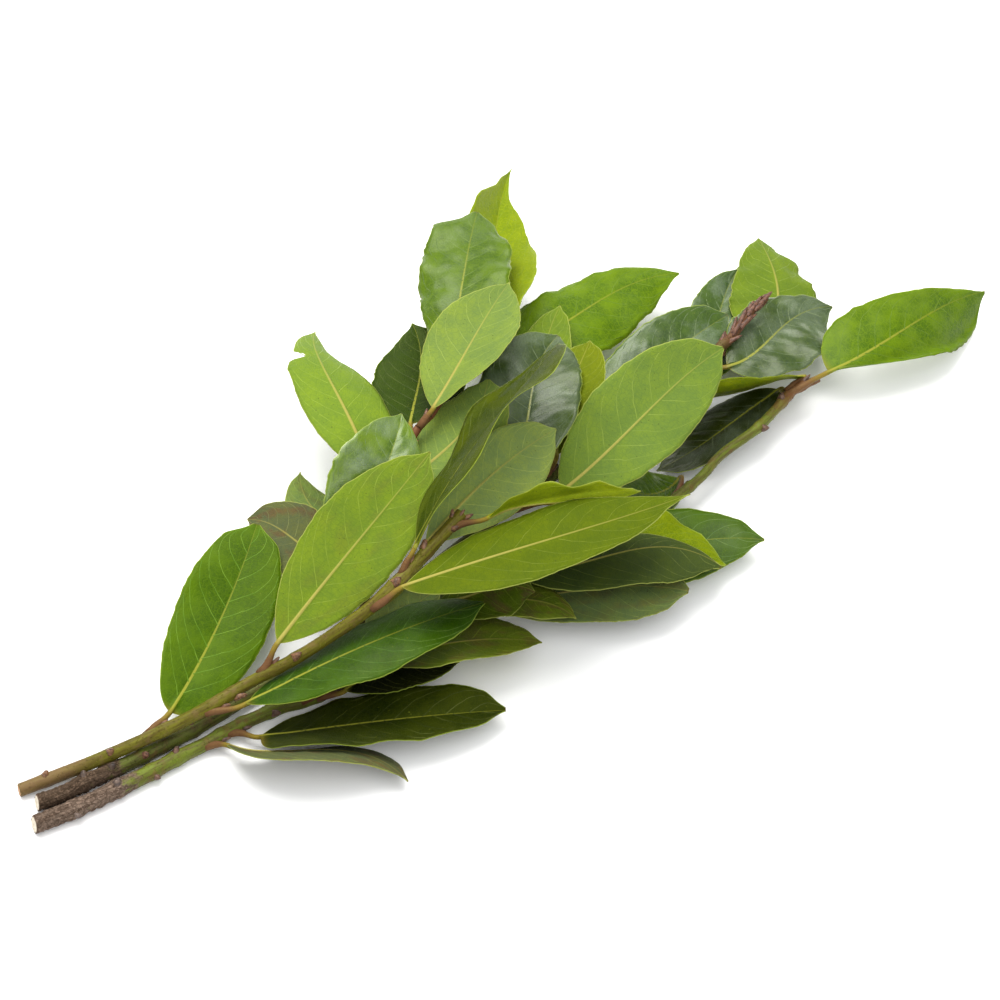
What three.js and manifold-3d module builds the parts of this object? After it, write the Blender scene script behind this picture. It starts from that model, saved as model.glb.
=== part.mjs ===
import * as THREE from "three";
import Module from "manifold-3d";

const wasm = await Module();
wasm.setup();
const { Manifold, Mesh } = wasm;

// A loose bunch of three cut bay branches lying on a table. Millimetres, +Z up, table at z = 0.

// stems
const stemSides = 8;
const stemStep = 4; // mm between rings
const settle = 0.45; // anything lower than this lies flat on the table
const knurl = 0.04; // how uneven a stem is, as a share of its radius

// leaves
const halfThick = 0.33; // half of a blade's thickness
const petioleHalf = 1.0;
const petioleThick = 0.85;
const ribBulge = 0.7; // how far the midrib stands out of the underside at the leaf's foot
const footGap = 0.75; // from a stem's skin to the middle of a petiole's foot
const bladeRows = 12;
const tipHalf = 0.6;

let seed = 7;
function random() {
  seed = (seed * 1664525 + 1013904223) % 4294967296;
  return seed / 4294967296;
}

function radians(degrees) {
  return (degrees * Math.PI) / 180;
}

// centre line of each stem from its cut end: x, y, z, radius
const routes = {
  a: [
    [-165.5, -124, 2.5, 2.3], [-153, -118.5, 3, 2.3], [-140, -114, 5.5, 2.3],
    [-127.5, -109, 8, 2.2], [-115, -103.5, 10.5, 2.2], [-104, -98, 13, 2.3],
    [-93, -91.5, 15.5, 2.1], [-80, -86, 19.5, 2.1], [-67, -80, 25, 2.1],
    [-54.5, -73, 30.5, 2.3], [-46.5, -67, 34, 2.9], [-41.5, -61.5, 36, 2.3],
    [-35, -55, 39, 2.2], [-25, -43.5, 42, 2.2],
  ],
  b: [
    [-159.5, -129, 3, 2.9], [-152, -126, 3, 2.9], [-143, -120.5, 3, 2.9],
    [-134, -115.5, 3, 2.8], [-125, -110, 3, 2.7], [-112.5, -102, 3, 2.6],
    [-94, -88, 3, 2.5], [-78.5, -76, 4.5, 2.4], [-59, -60.5, 6.5, 2.3],
    [-36, -41.5, 9, 2.2], [-12.5, -19.5, 10.5, 2.1], [8.5, -1, 12, 2],
    [26, 13.5, 14.5, 1.9], [44, 29, 17, 1.8], [66.5, 48.5, 21, 1.6],
    [71, 53, 22, 1.8], [77.5, 62.5, 23.5, 1.5], [83.5, 68, 25, 1.1],
  ],
  c: [
    [-159.5, -137, 3, 3.1], [-151, -133, 3, 3.1], [-142, -128.5, 3, 3.1],
    [-133, -123, 3, 3], [-124, -117.5, 3, 2.7], [-115, -111.5, 3, 2.5],
    [-107.5, -107, 3, 2.4], [-96.5, -99.5, 3, 2.3], [-84, -93, 3, 2.3],
    [-73, -89, 3, 2.2], [-45.5, -73, 4, 2.1], [-12.5, -54, 5.5, 2],
    [21.5, -32, 7, 1.9], [53, -7, 10, 1.8], [64.5, 6, 11.5, 1.8],
    [77, 16.5, 12.5, 1.8], [86, 27, 13, 1.8], [92, 34.5, 13, 1.7],
    [101, 39.5, 13.5, 1.4],
  ],
  shoot: [
    [-58.5, -60.5, 7.5, 1.6], [-55.5, -45.5, 14, 1.5], [-51, -35, 22, 1.5],
    [-46.5, -22, 30, 1.45], [-42, -6.5, 36.5, 1.4], [-35, 3, 39, 1.4],
    [-25.5, 24, 38.5, 1.3], [-19.5, 37, 37, 1.2],
  ],
};

const stems = {};
for (const [key, route] of Object.entries(routes)) {
  const curve = curveOf(route);
  stems[key] = { route, curve, length: curve.getLength() };
}

// leaves: on = stem, at = where the petiole leaves it (mm), base = foot of the blade, heading and rise
// of the blade's chord in degrees, arch = how far it bulges upwards, bow = how far sideways in its first
// and second half, roll, twist, fold and curl of its two halves in degrees, full = how pointed it is,
// widest = where each half is widest, lop = how much wider the right half is, wave = height and count
// of the margin's waves, under = the pale underside faces up
const leaves = [
  {
    name: "a_leaf_1", on: "a", at: 50, base: [-118.5, -99.5, 10.5], heading: 71, rise: 6,
    length: 75, width: 32, arch: -0.5, bow: [2.5, 2], roll: -12, twist: 19,
    fold: 9, curl: [-1, -9], full: 1.05, widest: [0.53, 0.49], lop: 0.03, wave: [0.6, 2], under: false,
  },
  {
    name: "a_leaf_2", on: "a", at: 91, base: [-84, -82, 24], heading: 53, rise: 13,
    length: 83, width: 33, arch: 1.5, bow: [0, 1], roll: -8, twist: 1,
    fold: 7, curl: [-6, -12], full: 1.6, widest: [0.51, 0.49], lop: -0.02, wave: [0.6, 2], under: true,
  },
  {
    name: "a_leaf_3", on: "a", at: 70, base: [-93.5, -98.5, 14], heading: 23, rise: 7,
    length: 84, width: 28, arch: 4, bow: [0, -0.5], roll: 14, twist: -11,
    fold: 2, curl: [-27, -14], full: 1.45, widest: [0.55, 0.5], lop: 0.03, wave: [0.9, 3], under: false,
  },
  {
    name: "a_leaf_4", on: "a", at: 133, base: [-43.5, -69.5, 37.5], heading: 24, rise: -3,
    length: 104, width: 31, arch: 8, bow: [4.5, 7], roll: 8, twist: -18,
    fold: 7, curl: [-15, -8], full: 1.95, widest: [0.43, 0.35], lop: 0.03, wave: [0.8, 2], under: true,
  },
  {
    name: "a_leaf_5", on: "a", at: 147, base: [-40, -57, 41.5], heading: 60, rise: 4,
    length: 95, width: 31, arch: 7.5, bow: [-2.5, 2], roll: 52, twist: -15,
    fold: 16, curl: [-27, -21], full: 1.4, widest: [0.52, 0.61], lop: 0.07, wave: [0.6, 2], under: false,
  },
  {
    name: "a_leaf_6", on: "a", at: 170, base: [-16.5, -45.5, 42.5], heading: 21, rise: -11,
    length: 56, width: 20, arch: 0.5, bow: [-5.5, 4], roll: 67, twist: 6,
    fold: 16, curl: [5, 11], full: 1.45, widest: [0.44, 0.44], lop: -0.01, wave: [0.6, 2], under: false,
  },
  {
    name: "a_leaf_7", on: "a", at: 153, base: [-37, -48.5, 32], heading: 49, rise: -1,
    length: 67, width: 27, arch: 4, bow: [-1, -1], roll: -23, twist: -11,
    fold: 8, curl: [1, -14], full: 1.8, widest: [0.55, 0.53], lop: 0.12, wave: [0.6, 2], under: true,
  },
  {
    name: "b_leaf_1", on: "shoot", at: 12, base: [-62.5, -46.5, 13], heading: 143, rise: -8,
    length: 47, width: 26, arch: 4.5, bow: [-5, 3], roll: 6, twist: 7,
    fold: 9, curl: [-8, -3], full: 1.5, widest: [0.45, 0.53], lop: -0.01, wave: [0.6, 2], under: true,
  },
  {
    name: "b_leaf_2", on: "shoot", at: 18, base: [-61, -36.5, 14], heading: 119, rise: -8,
    length: 44, width: 21, arch: -1, bow: [-0.5, -6.5], roll: -8, twist: -3,
    fold: 7, curl: [-7, -13], full: 1.65, widest: [0.42, 0.4], lop: 0, wave: [0.6, 2], under: true,
  },
  {
    name: "b_leaf_3", on: "shoot", at: 15, base: [-61.5, -45.5, 20], heading: 71, rise: 23,
    length: 53, width: 34, arch: 5.5, bow: [0.5, 3.5], roll: -21, twist: 3,
    fold: 10, curl: [4, -13], full: 1.5, widest: [0.46, 0.38], lop: -0.03, wave: [0.6, 2], under: false,
  },
  {
    name: "b_leaf_4", on: "shoot", at: 44, base: [-55.5, -19.5, 35], heading: 107, rise: -11,
    length: 81, width: 30, arch: 11, bow: [-1.5, -7], roll: -15, twist: -18,
    fold: 1, curl: [-18, -25], full: 1.7, widest: [0.35, 0.32], lop: 0.13, wave: [0.6, 2], under: true,
  },
  {
    name: "b_leaf_5", on: "shoot", at: 66, base: [-43, 2, 33], heading: 91, rise: -4,
    length: 50, width: 33, arch: -2.5, bow: [0.5, 5.5], roll: 1, twist: -9,
    fold: 8, curl: [-9, -8], full: 1.6, widest: [0.43, 0.45], lop: 0.02, wave: [0.6, 2], under: false,
  },
  {
    name: "b_leaf_6", on: "shoot", at: 100, base: [-29.5, 31.5, 36], heading: 83, rise: -1,
    length: 71, width: 34, arch: 2.5, bow: [0, -0.5], roll: 8, twist: -35,
    fold: 5, curl: [-18, -10], full: 1.15, widest: [0.54, 0.47], lop: 0.01, wave: [1.3, 4], under: false,
  },
  {
    name: "b_leaf_7", on: "shoot", at: 74, base: [-35, 1.5, 42], heading: 66, rise: 0,
    length: 64, width: 31, arch: 2, bow: [1, -0.5], roll: 7, twist: -40,
    fold: 13, curl: [-1, 3], full: 1.9, widest: [0.44, 0.48], lop: 0.01, wave: [0.7, 2], under: true,
  },
  {
    name: "b_leaf_8", on: "shoot", at: 110, base: [-18, 45.5, 32.5], heading: 84, rise: -8,
    length: 97, width: 33, arch: -3, bow: [2, -5], roll: -10, twist: -40,
    fold: 21, curl: [24, 13], full: 2.15, widest: [0.46, 0.29], lop: 0.05, wave: [0.9, 3], under: false,
  },
  {
    name: "b_leaf_9", on: "shoot", at: 106, base: [-16, 44, 21], heading: 33, rise: -4,
    length: 84, width: 33, arch: 0.5, bow: [6, -9], roll: -6, twist: 6,
    fold: 2, curl: [-17, -19], full: 1.25, widest: [0.36, 0.47], lop: 0.06, wave: [1.2, 3], under: false,
  },
  {
    name: "b_leaf_10", on: "b", at: 206, base: [-0.5, 3.5, 17.5], heading: 81, rise: 6,
    length: 63, width: 22, arch: 2, bow: [-1.5, -3.5], roll: 9, twist: 2,
    fold: 9, curl: [-9, -2], full: 1.4, widest: [0.45, 0.48], lop: 0, wave: [0.6, 2], under: true,
  },
  {
    name: "b_leaf_11", on: "b", at: 210, base: [7, 0.5, 18.5], heading: 74, rise: 14,
    length: 46, width: 26, arch: 3.5, bow: [-3, 0], roll: 10, twist: 0,
    fold: 10, curl: [-8, 0], full: 1.55, widest: [0.45, 0.48], lop: -0.01, wave: [0.6, 2], under: true,
  },
  {
    name: "b_leaf_12", on: "b", at: 194, base: [-6.5, -5.5, 22], heading: 74, rise: 8,
    length: 54, width: 37, arch: 3, bow: [1, -5.5], roll: -3, twist: -12,
    fold: 12, curl: [0, -2], full: 1, widest: [0.37, 0.47], lop: -0.04, wave: [1, 3], under: false,
  },
  {
    name: "b_leaf_13", on: "shoot", at: 48, base: [-42, -19.5, 31], heading: 56, rise: 9,
    length: 46, width: 27, arch: 0.5, bow: [3.5, 6.5], roll: 4, twist: -4,
    fold: 7, curl: [-11, -8], full: 1.1, widest: [0.44, 0.45], lop: 0.01, wave: [0.6, 2], under: true,
  },
  {
    name: "b_leaf_14", on: "b", at: 195, base: [8.5, -17, 20], heading: 44, rise: 8,
    length: 81, width: 35, arch: 4, bow: [3.5, -1.5], roll: -13, twist: -22,
    fold: 9, curl: [-1, -10], full: 1.3, widest: [0.47, 0.46], lop: -0.04, wave: [0.8, 3], under: true,
  },
  {
    name: "b_leaf_15", on: "b", at: 233, base: [19.5, 23, 10], heading: 42, rise: 4,
    length: 69, width: 29, arch: 4, bow: [1.5, 0], roll: -9, twist: -14,
    fold: 10, curl: [1, -8], full: 1.05, widest: [0.5, 0.45], lop: 0.01, wave: [0.6, 2], under: false,
  },
  {
    name: "b_leaf_16", on: "b", at: 238, base: [50.5, 40.5, 8.5], heading: 66, rise: -2,
    length: 66, width: 24, arch: -0.5, bow: [8, -2.5], roll: -8, twist: 0,
    fold: 11, curl: [3, -8], full: 1.55, widest: [0.48, 0.45], lop: 0.04, wave: [0.6, 2], under: false,
  },
  {
    name: "b_leaf_17", on: "b", at: 289, base: [85, 63.5, 7.4], heading: 89, rise: -6,
    length: 58, width: 35, arch: 3.5, bow: [7, 2.5], roll: -11, twist: -13,
    fold: 1, curl: [-15, -24], full: 1.15, widest: [0.29, 0.35], lop: -0.01, wave: [1.2, 4], under: true,
  },
  {
    name: "b_leaf_18", on: "b", at: 283, base: [68.5, 42, 17], heading: 37, rise: -2,
    length: 51, width: 34, arch: 0.5, bow: [4, -8.5], roll: -6, twist: 13,
    fold: 8, curl: [-4, -9], full: 1.5, widest: [0.41, 0.54], lop: 0.11, wave: [1.1, 4], under: false,
  },
  {
    name: "b_leaf_19", on: "b", at: 192, base: [8.5, -19, 15], heading: -22, rise: -4,
    length: 60, width: 26, arch: -0.5, bow: [0.5, 0.5], roll: 0, twist: 0,
    fold: 8, curl: [-8, -8], full: 1.6, widest: [0.45, 0.45], lop: 0, wave: [1, 3], under: false,
  },
  {
    name: "b_leaf_20", on: "b", at: 104, base: [-63, -76, 14], heading: 31, rise: 7,
    length: 38, width: 25, arch: 1, bow: [9, -2.5], roll: 10, twist: -2,
    fold: 7, curl: [-14, -6], full: 1.65, widest: [0.48, 0.41], lop: 0, wave: [0.6, 2], under: true,
  },
  {
    name: "c_leaf_1", on: "c", at: 310, base: [104.5, 40.5, 15.9], heading: 36, rise: -5,
    length: 78, width: 35, arch: 4.5, bow: [4, -2], roll: -27, twist: -40,
    fold: 1, curl: [-11, -28], full: 1.75, widest: [0.25, 0.68], lop: 0.03, wave: [0.9, 2], under: false,
  },
  {
    name: "c_leaf_2", on: "c", at: 311, base: [96, 40, 14], heading: -166, rise: 9,
    length: 53, width: 26, arch: -1.5, bow: [1.5, -5], roll: -61, twist: -22,
    fold: 7, curl: [-7, -12], full: 1.6, widest: [0.46, 0.45], lop: 0, wave: [0.6, 2], under: true,
  },
  {
    name: "c_leaf_3", on: "c", at: 304, base: [87.5, 39, 8], heading: -143, rise: -4,
    length: 57, width: 23, arch: 0, bow: [0.5, -2.5], roll: -13, twist: 5,
    fold: 7, curl: [-5, -15], full: 1.4, widest: [0.51, 0.43], lop: -0.01, wave: [0.4, 2], under: false,
  },
  {
    name: "c_leaf_4", on: "c", at: 250, base: [50, -1.5, 8], heading: -167, rise: 2,
    length: 22, width: 20, arch: -3.5, bow: [-3.5, -1], roll: -2, twist: 1,
    fold: 8, curl: [-8, -10], full: 1.6, widest: [0.45, 0.46], lop: 0, wave: [0.6, 2], under: false,
  },
  {
    name: "c_leaf_5", on: "c", at: 179, base: [-6, -39, 11], heading: 7, rise: -2,
    length: 85, width: 31, arch: 1, bow: [8, -5.5], roll: -5, twist: -6,
    fold: 5, curl: [-12, -15], full: 1.5, widest: [0.52, 0.48], lop: 0.04, wave: [0.6, 2], under: false,
  },
  {
    name: "c_leaf_6", on: "c", at: 168, base: [-11.5, -47, 17.5], heading: 2, rise: -3,
    length: 74, width: 30, arch: 3.5, bow: [9, -14.5], roll: 9, twist: -4,
    fold: 3, curl: [-22, -13], full: 1.55, widest: [0.25, 0.63], lop: 0.06, wave: [0.6, 2], under: true,
  },
  {
    name: "c_leaf_7", on: "c", at: 161, base: [-19, -57, 10], heading: 3, rise: 2,
    length: 70, width: 27, arch: 1, bow: [0, -5.5], roll: -6, twist: -14,
    fold: 8, curl: [-5, -9], full: 1.45, widest: [0.63, 0.59], lop: 0, wave: [0.6, 2], under: true,
  },
  {
    name: "c_leaf_8", on: "c", at: 156, base: [-22.5, -54.5, 14], heading: -17, rise: -1,
    length: 37, width: 19, arch: 3, bow: [3.5, -4], roll: 12, twist: -9,
    fold: 6, curl: [-16, -7], full: 1.75, widest: [0.44, 0.45], lop: 0.01, wave: [0.6, 2], under: true,
  },
  {
    name: "c_leaf_9", on: "c", at: 142, base: [-35.5, -59, 15.5], heading: 1, rise: 6,
    length: 35, width: 24, arch: 4.5, bow: [7, -4], roll: -5, twist: -12,
    fold: 7, curl: [-8, -11], full: 1.75, widest: [0.45, 0.6], lop: 0.04, wave: [0.6, 2], under: true,
  },
  {
    name: "c_leaf_10", on: "c", at: 101, base: [-50, -79, 9.5], heading: 5, rise: 4,
    length: 52, width: 25, arch: 3.5, bow: [-1, -2], roll: 15, twist: -3,
    fold: 9, curl: [-13, 1], full: 1.5, widest: [0.47, 0.43], lop: 0, wave: [0.6, 2], under: true,
  },
  {
    name: "c_leaf_11", on: "c", at: 106, base: [-63, -88, 5.5], heading: 16, rise: 1,
    length: 39, width: 22, arch: 2, bow: [-3.5, -1.5], roll: 5, twist: -1,
    fold: 9, curl: [-8, -4], full: 1.6, widest: [0.45, 0.46], lop: -0.01, wave: [0.3, 2], under: false,
  },
  {
    name: "c_leaf_12", on: "c", at: 74, base: [-89.5, -105.5, 5], heading: 6, rise: 2,
    length: 80, width: 28, arch: 0.5, bow: [-0.5, -1], roll: 14, twist: -33,
    fold: 12, curl: [-6, 5], full: 1.05, widest: [0.54, 0.33], lop: 0.1, wave: [0.6, 2], under: false,
  },
  {
    name: "c_leaf_13", on: "c", at: 66, base: [-99.5, -108.5, 4.4], heading: -14, rise: 1,
    length: 60, width: 25, arch: 5.5, bow: [6, -9.5], roll: 49, twist: -30,
    fold: 2, curl: [-18, -19], full: 1.8, widest: [0.58, 0.37], lop: -0.02, wave: [0.3, 2], under: true,
  },
];

// buds, leaf scars and knots: at = mm along the stem, turn = degrees round it from the top
// towards its right side, lean = degrees its point leans towards the tip
const knobs = [
  { on: "a", at: 9, turn: -20, long: 2.4, wide: 1.2, lean: 35 },
  { on: "a", at: 31, turn: 10, long: 2.6, wide: 1.3, lean: 35 },
  { on: "a", at: 74, turn: 100, long: 4.5, wide: 1.3, lean: 65 },
  { on: "a", at: 97, turn: 20, long: 4, wide: 1.4, lean: 60 },
  { on: "a", at: 137, turn: 10, long: 3.2, wide: 1.6, lean: 60 },
  { on: "a", at: 152, turn: -40, long: 3.6, wide: 1.4, lean: 55 },
  { on: "b", at: 17, turn: -30, long: 2.2, wide: 1.4, lean: 20 },
  { on: "b", at: 26, turn: 5, long: 2.6, wide: 1.5, lean: 30 },
  { on: "b", at: 37, turn: 35, long: 2.2, wide: 1.4, lean: 30 },
  { on: "b", at: 55, turn: -20, long: 2, wide: 1.2, lean: 30 },
  { on: "b", at: 282, turn: 60, long: 3, wide: 1.2, lean: 50 },
  { on: "b", at: 291, turn: -70, long: 3.4, wide: 1.2, lean: 60 },
  { on: "c", at: 14, turn: 80, long: 1.8, wide: 1.4, lean: 10 },
  { on: "c", at: 29, turn: -10, long: 2.4, wide: 1.6, lean: 25 },
  { on: "c", at: 41, turn: 85, long: 2.2, wide: 1.3, lean: 20 },
  { on: "c", at: 50, turn: -25, long: 2.6, wide: 1.3, lean: 35 },
  { on: "c", at: 84, turn: 60, long: 3.4, wide: 1.3, lean: 50 },
  { on: "c", at: 118, turn: -60, long: 2.2, wide: 1.1, lean: 40 },
  { on: "c", at: 286, turn: 80, long: 2.8, wide: 1.4, lean: 35 },
  { on: "c", at: 300, turn: -30, long: 2.6, wide: 1.4, lean: 50 },
];

function curveOf(route) {
  const points = route.map(([x, y, z]) => new THREE.Vector3(x, y, z));
  const curve = new THREE.CatmullRomCurve3(points, false, "catmullrom", 0.5);
  curve.arcLengthDivisions = 400;
  return curve;
}

function radiusAt(route, curve, along) {
  const place = curve.getUtoTmapping(along) * (route.length - 1);
  const low = Math.min(Math.floor(place), route.length - 2);
  return THREE.MathUtils.lerp(route[low][3], route[low + 1][3], place - low);
}

// a point on a stem with its direction, its level side and the up direction across it
function stemFrame(key, at) {
  const { route, curve, length } = stems[key];
  const along = THREE.MathUtils.clamp(at / length, 0, 1);
  const point = curve.getPointAt(along);
  const ahead = curve.getTangentAt(along);
  const side = new THREE.Vector3().crossVectors(ahead, new THREE.Vector3(0, 0, 1)).normalize();
  const up = new THREE.Vector3().crossVectors(side, ahead);
  return { point, ahead, side, up, radius: radiusAt(route, curve, along) };
}

// closed solid through rings of equal length
function skin(rings, capPairs) {
  const count = rings[0].length;
  const points = rings.flat();
  const faces = [];
  for (let i = 0; i < rings.length - 1; i += 1) {
    for (let k = 0; k < count; k += 1) {
      const a = i * count + k;
      const b = i * count + ((k + 1) % count);
      const flip = capPairs && k >= count / 2;
      if (flip) {
        faces.push([a, b, a + count], [b, b + count, a + count]);
      } else {
        faces.push([a, b, b + count], [a, b + count, a + count]);
      }
    }
  }
  for (const start of [0, (rings.length - 1) * count]) {
    const cap = [];
    if (capPairs) {
      for (let j = 0; j < count / 2 - 1; j += 1) {
        const [p, q, r, s] = [j, j + 1, count - 2 - j, count - 1 - j];
        cap.push([p, q, r], [p, r, s]);
      }
    } else {
      for (let k = 1; k < count - 1; k += 1) {
        cap.push([0, k, k + 1]);
      }
    }
    for (const [p, q, r] of cap) {
      const [second, third] = start === 0 ? [r, q] : [q, r];
      faces.push([start + p, start + second, start + third]);
    }
  }
  let volume = 0;
  for (const [p, q, r] of faces) {
    volume += points[p].dot(new THREE.Vector3().crossVectors(points[q], points[r]));
  }
  return { points, faces: volume < 0 ? faces.map(([p, q, r]) => [p, r, q]) : faces };
}

function solidOf({ points, faces }) {
  const vertProperties = new Float32Array(points.flatMap((p) => [p.x, p.y, p.z]));
  const mesh = new Mesh({ numProp: 3, vertProperties, triVerts: new Uint32Array(faces.flat()) });
  return new Manifold(mesh);
}

function ringRound({ point, side, up }, radius, sides, uneven) {
  const ring = [];
  for (let k = 0; k < sides; k += 1) {
    const angle = ((k + 0.5) / sides) * 2 * Math.PI;
    const r = radius * (1 + uneven * (random() - 0.5) * 2);
    const p = point.clone();
    p.addScaledVector(side, r * Math.sin(angle)).addScaledVector(up, r * Math.cos(angle));
    p.z = p.z < settle ? 0 : p.z;
    ring.push(p);
  }
  return ring;
}

function stemSolid(key) {
  const { length } = stems[key];
  const count = Math.round(length / stemStep);
  const rings = [];
  for (let i = 0; i <= count; i += 1) {
    const frame = stemFrame(key, (i / count) * length);
    rings.push(ringRound(frame, frame.radius, stemSides, knurl));
  }
  return solidOf(skin(rings));
}

// a small pointed bud with its root sunk in the stem
function knobSolid({ on, at, turn, long, wide, lean }) {
  const { point, ahead, side, up, radius } = stemFrame(on, at);
  const out = new THREE.Vector3()
    .addScaledVector(up, Math.cos(radians(turn)))
    .addScaledVector(side, Math.sin(radians(turn)));
  const axis = new THREE.Vector3()
    .addScaledVector(out, Math.cos(radians(lean)))
    .addScaledVector(ahead, Math.sin(radians(lean)))
    .normalize();
  const across = new THREE.Vector3().crossVectors(axis, ahead).normalize();
  const third = new THREE.Vector3().crossVectors(across, axis);
  const root = point.clone().addScaledVector(out, radius * 0.55);
  const shape = [[0, 0.8], [0.35, 1], [0.7, 0.75], [1, 0.2]];
  const rings = shape.map(([height, share]) => {
    const centre = root.clone().addScaledVector(axis, height * (long + radius * 0.4));
    return ringRound({ point: centre, side: across, up: third }, wide * share, 6, 0);
  });
  return solidOf(skin(rings));
}

function toGeometry(solid) {
  const mesh = solid.getMesh();
  const geometry = new THREE.BufferGeometry();
  const spots = [];
  for (let i = 0; i < mesh.vertProperties.length / mesh.numProp; i += 1) {
    spots.push(...mesh.vertProperties.slice(i * mesh.numProp, i * mesh.numProp + 3));
  }
  geometry.setAttribute("position", new THREE.Float32BufferAttribute(spots, 3));
  geometry.setIndex([...mesh.triVerts]);
  return geometry;
}

// centre line of a blade and its direction, t from the foot (0) to the tip (1)
function midrib(leaf, t) {
  const [h, r] = [radians(leaf.heading), radians(leaf.rise)];
  const chord = new THREE.Vector3(Math.cos(r) * Math.cos(h), Math.cos(r) * Math.sin(h), Math.sin(r));
  const side = new THREE.Vector3().crossVectors(chord, new THREE.Vector3(0, 0, 1)).normalize();
  const up = new THREE.Vector3().crossVectors(side, chord);
  chord.multiplyScalar(leaf.length);
  const swell = 4 * t * (1 - t);
  const slope = 4 * (1 - 2 * t);
  const bow = leaf.bow[0] * (1 - t) + leaf.bow[1] * t;
  const point = new THREE.Vector3(...leaf.base)
    .addScaledVector(chord, t)
    .addScaledVector(up, swell * leaf.arch)
    .addScaledVector(side, swell * bow);
  const ahead = chord
    .clone()
    .addScaledVector(up, slope * leaf.arch)
    .addScaledVector(side, slope * bow + swell * (leaf.bow[1] - leaf.bow[0]))
    .normalize();
  const level = new THREE.Vector3().crossVectors(ahead, new THREE.Vector3(0, 0, 1)).normalize();
  const normal = new THREE.Vector3().crossVectors(level, ahead);
  const roll = radians(leaf.roll + leaf.twist * (t - 0.5));
  const [cos, sin] = [Math.cos(roll), Math.sin(roll)];
  const across = level.clone().multiplyScalar(cos).addScaledVector(normal, sin);
  const out = level.clone().multiplyScalar(-sin).addScaledVector(normal, cos);
  return { point, ahead, across, out };
}

function halfWidth(leaf, t, right) {
  const widest = leaf.widest[right ? 1 : 0];
  const rise = (t / widest) ** (leaf.full * widest);
  const fall = ((1 - t) / (1 - widest)) ** (leaf.full * (1 - widest));
  return (leaf.width / 2) * (1 + (right ? leaf.lop : -leaf.lop)) * rise * fall;
}

// one ring of ten points: five along the upper skin, five back along the lower one
function leafRing(leaf, frame, t, stalk) {
  const top = [];
  const bottom = [];
  for (const v of [-1, -0.5, 0, 0.5, 1]) {
    const right = v > 0;
    const s = Math.abs(v);
    const blade = t < 0 ? 0 : halfWidth(leaf, Math.min(t, 1), right);
    const width = Math.max(blade, t < 0.5 ? petioleHalf : tipHalf);
    const fold = radians(leaf.fold) * (1 - stalk);
    const curl = radians(leaf.curl[right ? 1 : 0]) * (1 - stalk) || 0.001;
    const turn = fold + curl * s;
    const x = (width * (Math.sin(turn) - Math.sin(fold))) / curl;
    const lift = (width * (Math.cos(fold) - Math.cos(turn))) / curl;
    const [high, count] = leaf.wave;
    const phase = right ? 1.3 : 0;
    const ripple = high * s * s * Math.sin(2 * Math.PI * count * t + phase) * Math.sin(Math.PI * t);
    const sign = Math.sign(v);
    const place = frame.point
      .clone()
      .addScaledVector(frame.across, x * sign)
      .addScaledVector(frame.out, lift + (t > 0 ? ripple : 0));
    const tilt = v === 0 ? 0 : turn;
    const normal = frame.across
      .clone()
      .multiplyScalar(-Math.sin(tilt) * sign)
      .addScaledVector(frame.out, Math.cos(tilt));
    const round = THREE.MathUtils.lerp(halfThick, petioleThick * (1 - 0.55 * s * s), stalk);
    const rib = v === 0 ? ribBulge * (1 - THREE.MathUtils.clamp(t, 0, 1)) * (1 - stalk) : 0;
    top.push(place.clone().addScaledVector(normal, round + (leaf.under ? rib : 0)));
    bottom.push(place.clone().addScaledVector(normal, -round - (leaf.under ? 0 : rib)));
  }
  return [...top, ...bottom.reverse()];
}

function leafSolid(leaf) {
  const rings = [];
  for (let i = 0; i < bladeRows; i += 1) {
    const t = Math.min((1 - Math.cos((Math.PI * i) / (bladeRows - 1))) / 2, 0.985);
    const stalk = 1 - THREE.MathUtils.smoothstep(t, 0, 0.14);
    rings.push(leafRing(leaf, midrib(leaf, t), t, stalk));
  }
  // the petiole runs back from the blade to just outside its stem
  const foot = midrib(leaf, 0);
  const stem = stemFrame(leaf.on, leaf.at);
  const reach = foot.point.clone().sub(stem.point);
  const away = reach.clone().addScaledVector(stem.ahead, -reach.dot(stem.ahead)).normalize();
  const start = stem.point.clone().addScaledVector(away, stem.radius + footGap);
  const span = start.distanceTo(foot.point);
  const path = new THREE.CubicBezierCurve3(
    start,
    start.clone().addScaledVector(away, span * 0.35).addScaledVector(stem.ahead, span * 0.1),
    foot.point.clone().addScaledVector(foot.ahead, -span * 0.4),
    foot.point,
  );
  let frame = foot;
  for (const u of [0.7, 0.36, 0]) {
    const ahead = path.getTangent(u);
    const turn = new THREE.Quaternion().setFromUnitVectors(frame.ahead, ahead);
    frame = {
      point: path.getPoint(u),
      ahead,
      across: frame.across.clone().applyQuaternion(turn),
      out: frame.out.clone().applyQuaternion(turn),
    };
    rings.unshift(leafRing(leaf, frame, -1, 1));
  }
  return skin(rings, true);
}

function leafGeometry(leaf) {
  const { points, faces } = leafSolid(leaf);
  const geometry = new THREE.BufferGeometry();
  const spots = points.flatMap((p) => p.toArray());
  geometry.setAttribute("position", new THREE.Float32BufferAttribute(spots, 3));
  geometry.setIndex(faces.flat());
  return geometry;
}

const group = new THREE.Group();

function add(name, geometry, color, roughness) {
  const material = new THREE.MeshStandardMaterial({ color, roughness, metalness: 0, flatShading: true });
  const mesh = new THREE.Mesh(geometry, material);
  mesh.name = name;
  group.add(mesh);
}

const barks = { a: 0x6b6a2c, b: 0x4d4a2c, c: 0x5d5236 };
for (const key of ["a", "b", "c"]) {
  let solid = stemSolid(key);
  if (key === "b") {
    solid = solid.add(stemSolid("shoot"));
  }
  for (const knob of knobs) {
    if (knob.on === key) {
      solid = solid.add(knobSolid(knob));
    }
  }
  add(`${key}_stem`, toGeometry(solid), barks[key], 0.7);
}

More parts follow.
